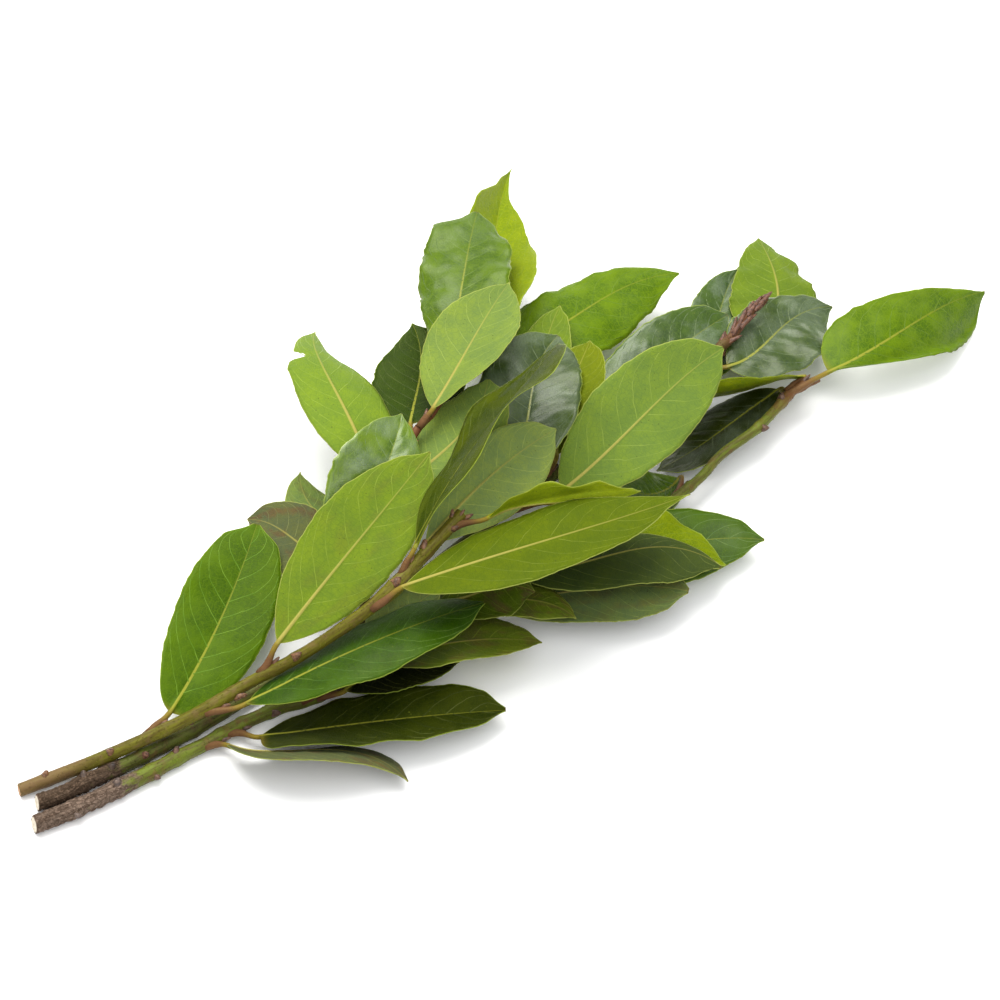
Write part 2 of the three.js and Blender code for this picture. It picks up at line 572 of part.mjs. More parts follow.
for (const leaf of leaves) {
  const [color, roughness] = leaf.under ? [0x8aa055, 0.6] : [0x3f6b1c, 0.35];
  add(leaf.name, leafGeometry(leaf), color, roughness);
}

export default group;
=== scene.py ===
import math
from functools import partial
import bpy
import bmesh
import numpy as np
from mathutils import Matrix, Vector, noise


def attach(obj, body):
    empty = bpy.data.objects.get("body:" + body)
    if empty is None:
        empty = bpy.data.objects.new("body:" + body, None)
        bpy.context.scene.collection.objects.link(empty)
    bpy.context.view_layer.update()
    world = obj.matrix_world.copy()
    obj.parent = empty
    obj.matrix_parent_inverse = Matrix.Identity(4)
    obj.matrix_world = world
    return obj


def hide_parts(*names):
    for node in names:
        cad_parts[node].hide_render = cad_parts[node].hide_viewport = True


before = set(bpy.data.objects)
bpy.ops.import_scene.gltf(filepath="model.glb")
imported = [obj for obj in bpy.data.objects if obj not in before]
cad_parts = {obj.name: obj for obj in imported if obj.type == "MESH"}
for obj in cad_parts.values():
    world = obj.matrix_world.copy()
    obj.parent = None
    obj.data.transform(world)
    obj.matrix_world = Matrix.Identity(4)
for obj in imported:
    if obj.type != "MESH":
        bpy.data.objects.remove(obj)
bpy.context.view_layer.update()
mm = 0.001
print("frame loaded", len(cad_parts), "nodes")

# camera and light: target and distance are in millimetres, the places of the lamps in metres
view = {"target": (-12.5, -20.5, 20), "elevation": 52, "distance": 800, "lens": 85, "sensor": 36,
        "clip": (0.01, 20)}

def aimAlong(thing, direction):
    thing.rotation_euler = direction.to_track_quat("-Z", "Y").to_euler()
    bpy.context.collection.objects.link(thing)

def placeCamera():
    tilt = math.radians(view["elevation"])
    away = Vector((0, -math.cos(tilt), math.sin(tilt))) * view["distance"] * mm
    data = bpy.data.cameras.new("lookCamera")
    data.lens, data.sensor_width = view["lens"], view["sensor"]
    data.clip_start, data.clip_end = view["clip"]
    camera = bpy.data.objects.new("lookCamera", data)
    camera.location = Vector(view["target"]) * mm + away
    aimAlong(camera, -away)
    bpy.context.scene.camera = camera

lamps = {
    "windowLight": {"place": (-0.26, 0.5, 1.2), "size": 1.25, "power": 28.5, "tint": (1, 0.99, 0.97)},
    "roomLight": {"place": (0.35, -0.5, 1.25), "size": 1.5, "power": 10.5, "tint": (0.98, 0.99, 1)},
}
sky = {"tint": (1, 1, 1, 1), "strength": 0.62, "lampAim": (0, 0, 0.02)}

def placeLight():
    for name, lamp in lamps.items():
        data = bpy.data.lights.new(name, "AREA")
        data.shape, data.size, data.energy, data.color = "DISK", lamp["size"], lamp["power"], lamp["tint"]
        light = bpy.data.objects.new(name, data)
        light.location = lamp["place"]
        aimAlong(light, Vector(sky["lampAim"]) - light.location)
    world = bpy.data.worlds.new("room")
    world.use_nodes = True
    back = world.node_tree.nodes["Background"]
    back.inputs["Color"].default_value = sky["tint"]
    back.inputs["Strength"].default_value = sky["strength"]
    bpy.context.scene.world = world
    bpy.context.scene.view_settings.view_transform = "Standard"

placeCamera()
placeLight()
print("camera and light placed")

# small helpers for node trees
def linkIn(tree, socket, value):
    if isinstance(value, bpy.types.NodeSocket):
        tree.links.new(value, socket)
    elif value is not None:
        socket.default_value = value

def linkAll(tree, sockets, **values):
    for key, value in values.items():
        linkIn(tree, sockets[key.replace("_", " ")], value)

def pick(sockets, name):
    return next(s for s in sockets if s.enabled and s.name == name)

def addNode(tree, kind, setup=None, **values):
    node = tree.nodes.new(kind)
    for key, value in (setup or {}).items():
        setattr(node, key, value)
    for key, value in values.items():
        linkIn(tree, pick(node.inputs, key.replace("_", " ")), value)
    return node

def addShape(tree, kind, setup=None, **values):
    return addNode(tree, kind, setup, **values).outputs[0]

def reckon(tree, how, *values, kind="ShaderNodeMath"):
    node = tree.nodes.new(kind)
    node.operation = how
    for socket, value in zip(node.inputs, values):
        linkIn(tree, socket, value)
    return node.outputs[0]

def stretch(tree, vector, scale):
    return reckon(tree, "MULTIPLY", vector, scale, kind="ShaderNodeVectorMath")

def splitVector(tree, vector):
    return list(addNode(tree, "ShaderNodeSeparateXYZ", Vector=vector).outputs)

def joinVector(tree, x=None, y=None, z=None):
    return addShape(tree, "ShaderNodeCombineXYZ", X=x, Y=y, Z=z)

def stepUp(tree, value, low, high, top=1.0, bottom=0.0, way="SMOOTHSTEP"):
    return pick(addNode(tree, "ShaderNodeMapRange", {"interpolation_type": way}, Value=value, From_Min=low,
                        From_Max=high, To_Min=bottom, To_Max=top).outputs, "Result")

def stepDown(tree, value, low, high, top=1.0):
    return stepUp(tree, value, low, high, 0.0, top)

def clouds(tree, place, scale, detail, rough=None, output="Fac"):
    return pick(addNode(tree, "ShaderNodeTexNoise", Vector=place, Scale=scale, Detail=detail,
                        Roughness=rough).outputs, output)

def cells(tree, place, scale, feature="DISTANCE_TO_EDGE"):
    return pick(addNode(tree, "ShaderNodeTexVoronoi", {"feature": feature}, Vector=place,
                        Scale=scale).outputs, "Distance")

def toolsFor(tree, *tools):
    # the helpers with the tree filled in
    return [partial(tool, tree) for tool in tools]

def newTree(kind, name, inputs, outputs):
    tree = bpy.data.node_groups.new(name, kind)
    for way, sockets in (("INPUT", inputs), ("OUTPUT", outputs)):
        for label, socket in sockets.items():
            tree.interface.new_socket(label, in_out=way, socket_type="NodeSocket" + socket)
    return tree, tree.nodes.new("NodeGroupInput").outputs, tree.nodes.new("NodeGroupOutput").inputs

def runTree(piece, tree, values):
    # puts a Geometry Nodes tree on a piece, sets its inputs and turns the result into a plain mesh
    modifier = piece.modifiers.new(tree.name, "NODES")
    modifier.node_group = tree
    for item in tree.interface.items_tree:
        if item.in_out == "INPUT" and item.name in values:
            modifier[item.identifier] = values[item.name]
    depsgraph = bpy.context.evaluated_depsgraph_get()
    mesh = bpy.data.meshes.new_from_object(
        piece.evaluated_get(depsgraph), preserve_all_data_layers=True, depsgraph=depsgraph)
    piece.modifiers.remove(modifier)
    old, piece.data = piece.data, mesh
    bpy.data.meshes.remove(old)

# helpers for meshes
def newMesh(name, points, edges, faces):
    mesh = bpy.data.meshes.new(name)
    mesh.from_pydata([tuple(p) for p in points], edges, faces)
    return mesh

def newPiece(mesh, *materials):
    piece = bpy.data.objects.new(mesh.name, mesh)
    bpy.context.collection.objects.link(piece)
    for material in materials:
        mesh.materials.append(material)
    return piece

def giveAttribute(mesh, name, kind, values):
    layer = mesh.attributes.new(name, kind, "POINT")
    field = {"FLOAT": "value", "FLOAT_VECTOR": "vector", "FLOAT_COLOR": "color"}[kind]
    layer.data.foreach_set(field, np.asarray(values, dtype=np.float32).ravel())

def smooth(x, low, high):
    x = np.clip((x - low) / (high - low), 0, 1)
    return x * x * (3 - 2 * x)

def unit(v):
    return v / np.linalg.norm(v, axis=-1, keepdims=True)

hillShape = (0.7, 2.0, 3)  # how soon finer hills fade, how much finer each layer is, how many layers

def hills(x, y, seed):
    return noise.fractal(Vector((x, y, seed)), *hillShape)

def mixTone(a, b, amount):
    return tuple(x * (1 - amount) + y * amount for x, y in zip(a, b))

# patterns in a blade's skin, on its own flat measure in millimetres: scale, detail and roughness of the
# clouds, also those of the painted sheen, and where lines and dots fade out
skinPattern = {
    "warp": (0.7, 2.0), "warpReach": (0.9, 0.9, 0.9), "net": 0.42, "netLine": (0.0, 0.09),
    "fine": 1.25, "fineLine": (0.0, 0.2), "specks": 0.55, "speckPick": (0.23, 2.0),
    "speckSize": (0.35, 0.75, 0.24, 0.03), "speckCore": 0.02, "patch": (4.0, 0.55), "patchEdge": (0.3, 0.72),
    "grain": (1.0, 3.0, 0.6), "grainStretch": (2.6, 0.5, 1.0), "sheenPaint": (0.085, 6.0, 0.6),
}

def makeBladeSkin():
    tree, given, put = newTree(
        "ShaderNodeTree", "bladeSkin", {"Flat": "Vector", "Net Size": "Float", "Patch Size": "Float"},
        dict.fromkeys(("Net", "Fine Net", "Specks", "Patches", "Grain", "Wax"), "Float"))
    calc, step, down, cloud, cell = toolsFor(tree, reckon, stepUp, stepDown, clouds, cells)
    look, flat = skinPattern, given["Flat"]
    warp = cloud(flat, *look["warp"], output="Color")
    bent = calc("MULTIPLY_ADD", warp, look["warpReach"], flat, kind="ShaderNodeVectorMath")
    finer = calc("DIVIDE", 1.0, given["Net Size"])
    net = cell(bent, calc("MULTIPLY", finer, look["net"]))
    fine = cell(bent, calc("MULTIPLY", finer, look["fine"]))
    speckSize = step(cloud(flat, *look["speckPick"]), *look["speckSize"], "LINEAR")
    patches = cloud(flat, calc("DIVIDE", 1.0, given["Patch Size"]), *look["patch"])
    linkAll(tree, put, Net=down(net, *look["netLine"]), Fine_Net=down(fine, *look["fineLine"]),
            Specks=down(cell(flat, look["specks"], "F1"), look["speckCore"], speckSize),
            Patches=step(patches, *look["patchEdge"]),
            Grain=cloud(stretch(tree, flat, look["grainStretch"]), *look["grain"]),
            Wax=cloud(flat, *look["sheenPaint"]))
    return tree

barkPattern = {
    "streak": (5.0, 0.65), "streakStretch": (0.12, 1.0, 1.0), "crack": 0.9, "crackStretch": (0.45, 1.0, 1.0),
    "crackLine": (0.0, 0.16), "pore": 1.3, "poreEdge": (0.08, 0.2), "blotch": (0.3, 3.0),
    "scurf": (1.1, 4.0, 0.7),
}

def makeBarkSkin():
    # streaks along the stem, cracks, small pores, blotches and scurf
    tree, given, put = newTree(
        "ShaderNodeTree", "barkSkin", {"Place": "Vector", "Streak": "Float"},
        dict.fromkeys(("Streaks", "Cracks", "Pores", "Blotches", "Scurf"), "Float"))
    down, cloud, cell = toolsFor(tree, stepDown, clouds, cells)
    look, place = barkPattern, given["Place"]
    streaks = cloud(stretch(tree, place, look["streakStretch"]), given["Streak"], *look["streak"])
    cracks = cell(stretch(tree, place, look["crackStretch"]), look["crack"])
    linkAll(tree, put, Streaks=streaks, Cracks=down(cracks, *look["crackLine"]),
            Pores=down(cell(place, look["pore"], "F1"), *look["poreEdge"]),
            Blotches=cloud(place, *look["blotch"]), Scurf=cloud(place, *look["scurf"]))
    return tree

bladeSkin = makeBladeSkin()
barkSkin = makeBarkSkin()

# helpers for materials
def startMaterial(name, **values):
    material = bpy.data.materials.new(name)
    material.use_nodes = True
    tree = material.node_tree
    shader = tree.nodes["Principled BSDF"]
    linkAll(tree, shader.inputs, **values)
    return material, tree, shader

def mixColour(tree, amount, a, b, how="MIX"):
    node = tree.nodes.new("ShaderNodeMix")
    node.data_type, node.blend_type, node.clamp_factor = "RGBA", how, True
    linkIn(tree, node.inputs["Factor"], amount)
    for socket, colour in zip([s for s in node.inputs if s.type == "RGBA"], (a, b)):
        linkIn(tree, socket, (*colour, 1) if isinstance(colour, tuple) else colour)
    return next(s for s in node.outputs if s.type == "RGBA")

def multiplyColour(tree, colour, factors):
    return mixColour(tree, 1.0, colour, factors, "MULTIPLY")

def readAttribute(tree, name, output="Fac"):
    node = tree.nodes.new("ShaderNodeAttribute")
    node.attribute_name = name
    return node.outputs[output]

def useGroup(tree, group, **values):
    node = tree.nodes.new("ShaderNodeGroup")
    node.node_tree = group
    linkAll(tree, node.inputs, **values)
    return node.outputs

def addBump(tree, shader, height, strength, distance):
    bump = addShape(tree, "ShaderNodeBump", Strength=strength, Distance=distance, Height=height)
    linkIn(tree, shader.inputs["Normal"], bump)

# leaf materials; what both faces share is in leafFinish, where three numbers are from, to and strength
petiole = {"nearStem": (0.135, 0.064, 0.03), "nearBlade": (0.19, 0.135, 0.022)}
upperSkin = {
    "specular": 0.2, "tint": (0.75, 0.9, 0.12, 1), "lighter": (1.75, 1.45, 1.0),
    "darker": (0.46, 0.6, 1.2), "veins": "lighter", "net": 0.55, "patch": 0.85, "outer": 0.5,
    "specks": 0.35, "speckTone": (0.2, 0.22, 0.03), "rib": (0.25, 0.25, 0.03), "ribHalf": 0.62,
    "rim": (0.27, 0.34, 0.05), "rough": 0.42, "coat": 0.6, "netHigh": -0.6, "fineHigh": -0.4, "bump": 0.7,
}
underSkin = {
    "specular": 0.16, "tint": (0.85, 0.9, 0.3, 1), "lighter": (1.24, 1.19, 0.9),
    "darker": (0.66, 0.76, 1.15), "veins": "darker", "net": 0.42, "patch": 0.62, "outer": 0.25,
    "specks": 0.8, "speckTone": (0.035, 0.04, 0.008), "rib": (0.33, 0.29, 0.07), "ribHalf": 0.8,
    "rim": (0.33, 0.37, 0.08), "rough": 0.56, "coat": 0, "netHigh": 0.6, "fineHigh": 0.3, "bump": 0.5,
}
leafFinish = {
    "netSize": 0.85, "patchSize": 8.5, "outer": (0.35, 1.0), "cloudShift": 0.2, "grain": (0.42, 0.62, 0.3),
    "fineShare": 0.6, "sheenPaint": (0.42, 0.62, 0.34), "sheenPaintNet": -0.5, "sheenPaintPatch": (0.5, 0.5),
    "ribEnd": 0.14, "ribEdge": (0.5, 1.1), "ribFade": (0.0, 0.95, 0.55, 0.98), "ribTurn": (0.15, 0.85),
    "rimEdge": (0.12, 0.42), "rimShare": 0.7, "tip": (0.982, 0.996, 0.7), "tipTone": (0.075, 0.035, 0.012),
    "foot": (0.0, 0.045, 0.25), "stalk": (0.93, 1.12), "stalkFoot": (1.15, 1.7), "coatRough": 0.3,
    "roughPatch": 0.1, "roughNet": 0.06, "roughGloss": -0.1, "grainHigh": (-0.6, 0.9), "bumpHigh": 0.00014,
}
# pale grey-green colour of the painted sheen on glossy leaves
paintedSheenTone = (0.2, 0.245, 0.19)

def makeLeafMaterial(name, look):
    finish = leafFinish
    material, tree, shader = startMaterial(name, Specular_IOR_Level=look["specular"],
                                           Specular_Tint=look["tint"], Coat_Roughness=finish["coatRough"])
    calc, mix, step, down, read = toolsFor(tree, reckon, mixColour, stepUp, stepDown, readAttribute)
    flat, tone, gloss = read("flat", "Vector"), read("tone", "Color"), read("gloss")
    along, share, stalk = splitVector(tree, read("part", "Vector"))
    skin = useGroup(tree, bladeSkin, Flat=flat, Net_Size=finish["netSize"], Patch_Size=finish["patchSize"])
    # cloudy patches, brighter towards the margin, then grain, the nets of fine veins and tiny specks
    lighter, darker = (multiplyColour(tree, tone, look[way]) for way in ("lighter", "darker"))
    outer = calc("SUBTRACT", step(share, *finish["outer"], look["outer"]), finish["cloudShift"])
    cloud = calc("ADD", skin["Patches"], outer)
    base = mix(calc("MULTIPLY", read("tone", "Alpha"), look["patch"]), tone, mix(cloud, darker, lighter))
    base = mix(step(skin["Grain"], *finish["grain"]), base, lighter)
    veins = lighter if look["veins"] == "lighter" else darker
    base = mix(calc("MULTIPLY", skin["Net"], look["net"]), base, veins)
    base = mix(calc("MULTIPLY", skin["Fine Net"], look["net"] * finish["fineShare"]), base, veins)
    base = mix(calc("MULTIPLY", skin["Specks"], look["specks"]), base, look["speckTone"])
    # painted sheen: glossy leaves get a pale grey colour in patches, broken by the fine veins
    sheenGaps = calc("MULTIPLY", calc("MULTIPLY_ADD", skin["Fine Net"], finish["sheenPaintNet"], 1.0),
                calc("MULTIPLY_ADD", skin["Patches"], *finish["sheenPaintPatch"]))
    sheenPaint = calc("MULTIPLY", calc("MULTIPLY", step(skin["Wax"], *finish["sheenPaint"]), gloss), sheenGaps)
    base = mix(sheenPaint, base, paintedSheenTone)
    # midrib, thin margin, dry tip and the way into the petiole
    ribWide = step(along, 0.0, 1.0, finish["ribEnd"], look["ribHalf"], "LINEAR")
    ribSide = calc("ABSOLUTE", splitVector(tree, flat)[1])
    rib = down(calc("DIVIDE", ribSide, ribWide), *finish["ribEdge"])
    ribTone = mix(step(along, *finish["ribTurn"]), look["rib"], mix(0.5, look["rib"], tone))
    base = mix(calc("MULTIPLY", rib, step(along, *finish["ribFade"], "LINEAR")), base, ribTone)
    base = mix(down(read("edge"), *finish["rimEdge"], finish["rimShare"]), base, look["rim"])
    base = mix(step(along, *finish["tip"]), base, finish["tipTone"])
    base = mix(down(along, *finish["foot"]), base, petiole["nearBlade"])
    stalkTone = mix(step(stalk, *finish["stalkFoot"]), petiole["nearBlade"], petiole["nearStem"])
    base = mix(step(stalk, *finish["stalk"]), base, stalkTone)
    rough = calc("MULTIPLY_ADD", skin["Patches"], finish["roughPatch"], look["rough"])
    rough = calc("MULTIPLY_ADD", skin["Fine Net"], finish["roughNet"], rough)
    rough = calc("MULTIPLY_ADD", gloss, finish["roughGloss"], rough)
    linkAll(tree, shader.inputs, Base_Color=base, Roughness=rough)
    if look["coat"]:
        linkAll(tree, shader.inputs, Coat_Weight=calc("MULTIPLY", gloss, look["coat"]))
    high = calc("MULTIPLY", skin["Net"], look["netHigh"])
    high = calc("MULTIPLY_ADD", skin["Fine Net"], look["fineHigh"], high)
    high = calc("MULTIPLY_ADD", skin["Grain"], calc("MULTIPLY_ADD", gloss, *finish["grainHigh"]), high)
    addBump(tree, shader, high, look["bump"], finish["bumpHigh"])
    return material

# look of the side veins; the last entry is how much of the painted sheen colour the veins of glossy leaves
# take
veinLook = {
    "specular": 0.3, "rough": 0.45, "tint": (0.8, 0.9, 0.4, 1), "paler": (1.28, 1.24, 1.3),
    "straw": (0.33, 0.35, 0.07), "strawShare": 0.12, "wander": (0.16, 3.0), "shows": (0.38, 0.64, 0.95),
    "sheenPaint": 0.32,
}

def makeVeinMaterial():
    look = veinLook
    material, tree, shader = startMaterial(
        "veins", Specular_IOR_Level=look["specular"], Roughness=look["rough"], Specular_Tint=look["tint"])
    mix, step, read = toolsFor(tree, mixColour, stepUp, readAttribute)
    tone = read("tone", "Color")
    pale = mix(look["strawShare"], multiplyColour(tree, tone, look["paler"]), look["straw"])
    shows = step(clouds(tree, read("flat", "Vector"), *look["wander"]), *look["shows"])
    linkAll(tree, shader.inputs, Base_Color=mix(shows, tone, pale))
    return material

leafUpper = makeLeafMaterial("leafUpperFace", upperSkin)
leafUnder = makeLeafMaterial("leafUnderside", underSkin)
veinMaterial = makeVeinMaterial()
print("leaf materials made")

# one row for each leaf: on = stem, at = where the petiole leaves it, base = foot of the blade (millimetres),
# heading and rise of its chord in degrees, arch = bulge upwards, bow = sideways in both halves of its
# length, roll, twist, fold and curl of its two halves in degrees, full = how pointed, widest and lop =
# outline, wave = height and count of the margin's waves, under = underside up
leafColumns = (
    "name", "on", "at", "base", "heading", "rise", "length", "width", "arch", "bow",
    "roll", "twist", "fold", "curl", "full", "widest", "lop", "wave", "under")
leafValues = [
    ("a_leaf_1", "a", 50, (-118.5, -99.5, 10.5), 71, 6, 75, 32, -0.5, (2.5, 2),
     -12, 19, 9, (-1, -9), 1.05, (0.53, 0.49), 0.03, (0.6, 2), False),
    ("a_leaf_2", "a", 91, (-84, -82, 24), 53, 13, 83, 33, 1.5, (0, 1),
     -8, 1, 7, (-6, -12), 1.6, (0.51, 0.49), -0.02, (0.6, 2), True),
    ("a_leaf_3", "a", 70, (-93.5, -98.5, 14), 23, 7, 84, 28, 4, (0, -0.5),
     14, -11, 2, (-27, -14), 1.45, (0.55, 0.5), 0.03, (0.9, 3), False),
    ("a_leaf_4", "a", 133, (-43.5, -69.5, 37.5), 24, -3, 104, 31, 8, (4.5, 7),
     8, -18, 7, (-15, -8), 1.95, (0.43, 0.35), 0.03, (0.8, 2), True),
    ("a_leaf_5", "a", 147, (-40, -57, 41.5), 60, 4, 95, 31, 7.5, (-2.5, 2),
     52, -15, 16, (-27, -21), 1.4, (0.52, 0.61), 0.07, (0.6, 2), False),
    ("a_leaf_6", "a", 170, (-16.5, -45.5, 42.5), 21, -11, 56, 20, 0.5, (-5.5, 4),
     67, 6, 16, (5, 11), 1.45, (0.44, 0.44), -0.01, (0.6, 2), False),
    ("a_leaf_7", "a", 153, (-37, -48.5, 32), 49, -1, 67, 27, 4, (-1, -1),
     -23, -11, 8, (1, -14), 1.8, (0.55, 0.53), 0.12, (0.6, 2), True),
    ("b_leaf_1", "shoot", 12, (-62.5, -46.5, 13), 143, -8, 47, 26, 4.5, (-5, 3),
     6, 7, 9, (-8, -3), 1.5, (0.45, 0.53), -0.01, (0.6, 2), True),
    ("b_leaf_2", "shoot", 18, (-61, -36.5, 14), 119, -8, 44, 21, -1, (-0.5, -6.5),
     -8, -3, 7, (-7, -13), 1.65, (0.42, 0.4), 0, (0.6, 2), True),
    ("b_leaf_3", "shoot", 15, (-61.5, -45.5, 20), 71, 23, 53, 34, 5.5, (0.5, 3.5),
     -21, 3, 10, (4, -13), 1.5, (0.46, 0.38), -0.03, (0.6, 2), False),
    ("b_leaf_4", "shoot", 44, (-55.5, -19.5, 35), 107, -11, 81, 30, 11, (-1.5, -7),
     -15, -18, 1, (-18, -25), 1.7, (0.35, 0.32), 0.13, (0.6, 2), True),
    ("b_leaf_5", "shoot", 66, (-43, 2, 33), 91, -4, 50, 33, -2.5, (0.5, 5.5),
     1, -9, 8, (-9, -8), 1.6, (0.43, 0.45), 0.02, (0.6, 2), False),
    ("b_leaf_6", "shoot", 100, (-29.5, 31.5, 36), 83, -1, 71, 34, 2.5, (0, -0.5),
     8, -35, 5, (-18, -10), 1.15, (0.54, 0.47), 0.01, (1.3, 4), False),
    ("b_leaf_7", "shoot", 74, (-35, 1.5, 42), 66, 0, 64, 31, 2, (1, -0.5),
     7, -40, 13, (-1, 3), 1.9, (0.44, 0.48), 0.01, (0.7, 2), True),
    ("b_leaf_8", "shoot", 110, (-18, 45.5, 32.5), 84, -8, 97, 33, -3, (2, -5),
     -10, -40, 21, (24, 13), 2.15, (0.46, 0.29), 0.05, (0.9, 3), False),
    ("b_leaf_9", "shoot", 106, (-16, 44, 21), 33, -4, 84, 33, 0.5, (6, -9),
     -6, 6, 2, (-17, -19), 1.25, (0.36, 0.47), 0.06, (1.2, 3), False),
    ("b_leaf_10", "b", 206, (-0.5, 3.5, 17.5), 81, 6, 63, 22, 2, (-1.5, -3.5),
     9, 2, 9, (-9, -2), 1.4, (0.45, 0.48), 0, (0.6, 2), True),
    ("b_leaf_11", "b", 210, (7, 0.5, 18.5), 74, 14, 46, 26, 3.5, (-3, 0),
     10, 0, 10, (-8, 0), 1.55, (0.45, 0.48), -0.01, (0.6, 2), True),
    ("b_leaf_12", "b", 194, (-6.5, -5.5, 22), 74, 8, 54, 37, 3, (1, -5.5),
     -3, -12, 12, (0, -2), 1, (0.37, 0.47), -0.04, (1, 3), False),
    ("b_leaf_13", "shoot", 48, (-42, -19.5, 31), 56, 9, 46, 27, 0.5, (3.5, 6.5),
     4, -4, 7, (-11, -8), 1.1, (0.44, 0.45), 0.01, (0.6, 2), True),
    ("b_leaf_14", "b", 195, (8.5, -17, 20), 44, 8, 81, 35, 4, (3.5, -1.5),
     -13, -22, 9, (-1, -10), 1.3, (0.47, 0.46), -0.04, (0.8, 3), True),
    ("b_leaf_15", "b", 233, (19.5, 23, 10), 42, 4, 69, 29, 4, (1.5, 0),
     -9, -14, 10, (1, -8), 1.05, (0.5, 0.45), 0.01, (0.6, 2), False),
    ("b_leaf_16", "b", 238, (50.5, 40.5, 8.5), 66, -2, 66, 24, -0.5, (8, -2.5),
     -8, 0, 11, (3, -8), 1.55, (0.48, 0.45), 0.04, (0.6, 2), False),
    ("b_leaf_17", "b", 289, (85, 63.5, 7.4), 89, -6, 58, 35, 3.5, (7, 2.5),
     -11, -13, 1, (-15, -24), 1.15, (0.29, 0.35), -0.01, (1.2, 4), True),
    ("b_leaf_18", "b", 283, (68.5, 42, 17), 37, -2, 51, 34, 0.5, (4, -8.5),
     -6, 13, 8, (-4, -9), 1.5, (0.41, 0.54), 0.11, (1.1, 4), False),
    ("b_leaf_19", "b", 192, (8.5, -19, 15), -22, -4, 60, 26, -0.5, (0.5, 0.5),
     0, 0, 8, (-8, -8), 1.6, (0.45, 0.45), 0, (1, 3), False),
    ("b_leaf_20", "b", 104, (-63, -76, 14), 31, 7, 38, 25, 1, (9, -2.5),
     10, -2, 7, (-14, -6), 1.65, (0.48, 0.41), 0, (0.6, 2), True),
    ("c_leaf_1", "c", 310, (104.5, 40.5, 15.9), 36, -5, 78, 35, 4.5, (4, -2),
     -27, -40, 1, (-11, -28), 1.75, (0.25, 0.68), 0.03, (0.9, 2), False),
    ("c_leaf_2", "c", 311, (96, 40, 14), -166, 9, 53, 26, -1.5, (1.5, -5),
     -61, -22, 7, (-7, -12), 1.6, (0.46, 0.45), 0, (0.6, 2), True),
    ("c_leaf_3", "c", 304, (87.5, 39, 8), -143, -4, 57, 23, 0, (0.5, -2.5),
     -13, 5, 7, (-5, -15), 1.4, (0.51, 0.43), -0.01, (0.4, 2), False),
    ("c_leaf_4", "c", 250, (50, -1.5, 8), -167, 2, 22, 20, -3.5, (-3.5, -1),
     -2, 1, 8, (-8, -10), 1.6, (0.45, 0.46), 0, (0.6, 2), False),
    ("c_leaf_5", "c", 179, (-6, -39, 11), 7, -2, 85, 31, 1, (8, -5.5),
     -5, -6, 5, (-12, -15), 1.5, (0.52, 0.48), 0.04, (0.6, 2), False),
    ("c_leaf_6", "c", 168, (-11.5, -47, 17.5), 2, -3, 74, 30, 3.5, (9, -14.5),
     9, -4, 3, (-22, -13), 1.55, (0.25, 0.63), 0.06, (0.6, 2), True),
    ("c_leaf_7", "c", 161, (-19, -57, 10), 3, 2, 70, 27, 1, (0, -5.5),
     -6, -14, 8, (-5, -9), 1.45, (0.63, 0.59), 0, (0.6, 2), True),
    ("c_leaf_8", "c", 156, (-22.5, -54.5, 14), -17, -1, 37, 19, 3, (3.5, -4),
     12, -9, 6, (-16, -7), 1.75, (0.44, 0.45), 0.01, (0.6, 2), True),
    ("c_leaf_9", "c", 142, (-35.5, -59, 15.5), 1, 6, 35, 24, 4.5, (7, -4),
     -5, -12, 7, (-8, -11), 1.75, (0.45, 0.6), 0.04, (0.6, 2), True),
    ("c_leaf_10", "c", 101, (-50, -79, 9.5), 5, 4, 52, 25, 3.5, (-1, -2),
     15, -3, 9, (-13, 1), 1.5, (0.47, 0.43), 0, (0.6, 2), True),
    ("c_leaf_11", "c", 106, (-63, -88, 5.5), 16, 1, 39, 22, 2, (-3.5, -1.5),
     5, -1, 9, (-8, -4), 1.6, (0.45, 0.46), -0.01, (0.3, 2), False),
    ("c_leaf_12", "c", 74, (-89.5, -105.5, 5), 6, 2, 80, 28, 0.5, (-0.5, -1),
     14, -33, 12, (-6, 5), 1.05, (0.54, 0.33), 0.1, (0.6, 2), False),
    ("c_leaf_13", "c", 66, (-99.5, -108.5, 4.4), -14, 1, 60, 25, 5.5, (6, -9.5),
     49, -30, 2, (-18, -19), 1.8, (0.58, 0.37), -0.02, (0.3, 2), True),
]
leafTable = [dict(zip(leafColumns, row)) for row in leafValues]

# tones of the two faces; night and dark are partly the leaves' own dark colour and partly painted shade
upperTones = {
    "bright": (0.061, 0.124, 0.002), "grass": (0.046, 0.098, 0.001), "vivid": (0.035, 0.084, 0.001),
    "green": (0.021, 0.056, 0.001), "leaf": (0.016, 0.05, 0.001), "deep": (0.016, 0.034, 0.001),
    "dark": (0.011, 0.018, 0.001), "night": (0.003, 0.0045, 0.001), "lime": (0.125, 0.185, 0.003),
    "mustard": (0.17, 0.22, 0.004), "mellow": (0.088, 0.132, 0.001), "olive": (0.04, 0.055, 0.001),
    "moss": (0.026, 0.043, 0.001), "pine": (0.01, 0.027, 0.001), "steel": (0.02, 0.044, 0.006),
}
underTones = {
    "pale": (0.145, 0.205, 0.034), "soft": (0.138, 0.21, 0.016), "fresh": (0.113, 0.17, 0.01),
    "lime": (0.074, 0.106, 0.002), "sage": (0.115, 0.175, 0.022), "grey": (0.14, 0.195, 0.042),
    # spring, frost and leek are underside colours made lighter, painted light: spring for faces turned away
    # from the lamps, frost and leek for leaves lying in the shade of others
    "spring": (0.25, 0.31, 0.006), "frost": (0.2, 0.26, 0.062), "leek": (0.115, 0.145, 0.003),
    "dull": (0.038, 0.056, 0.01), "slate": (0.095, 0.13, 0.034), "bronze": (0.08, 0.09, 0.03),
    "moss": (0.095, 0.128, 0.008), "sedge": (0.06, 0.09, 0.004),
}
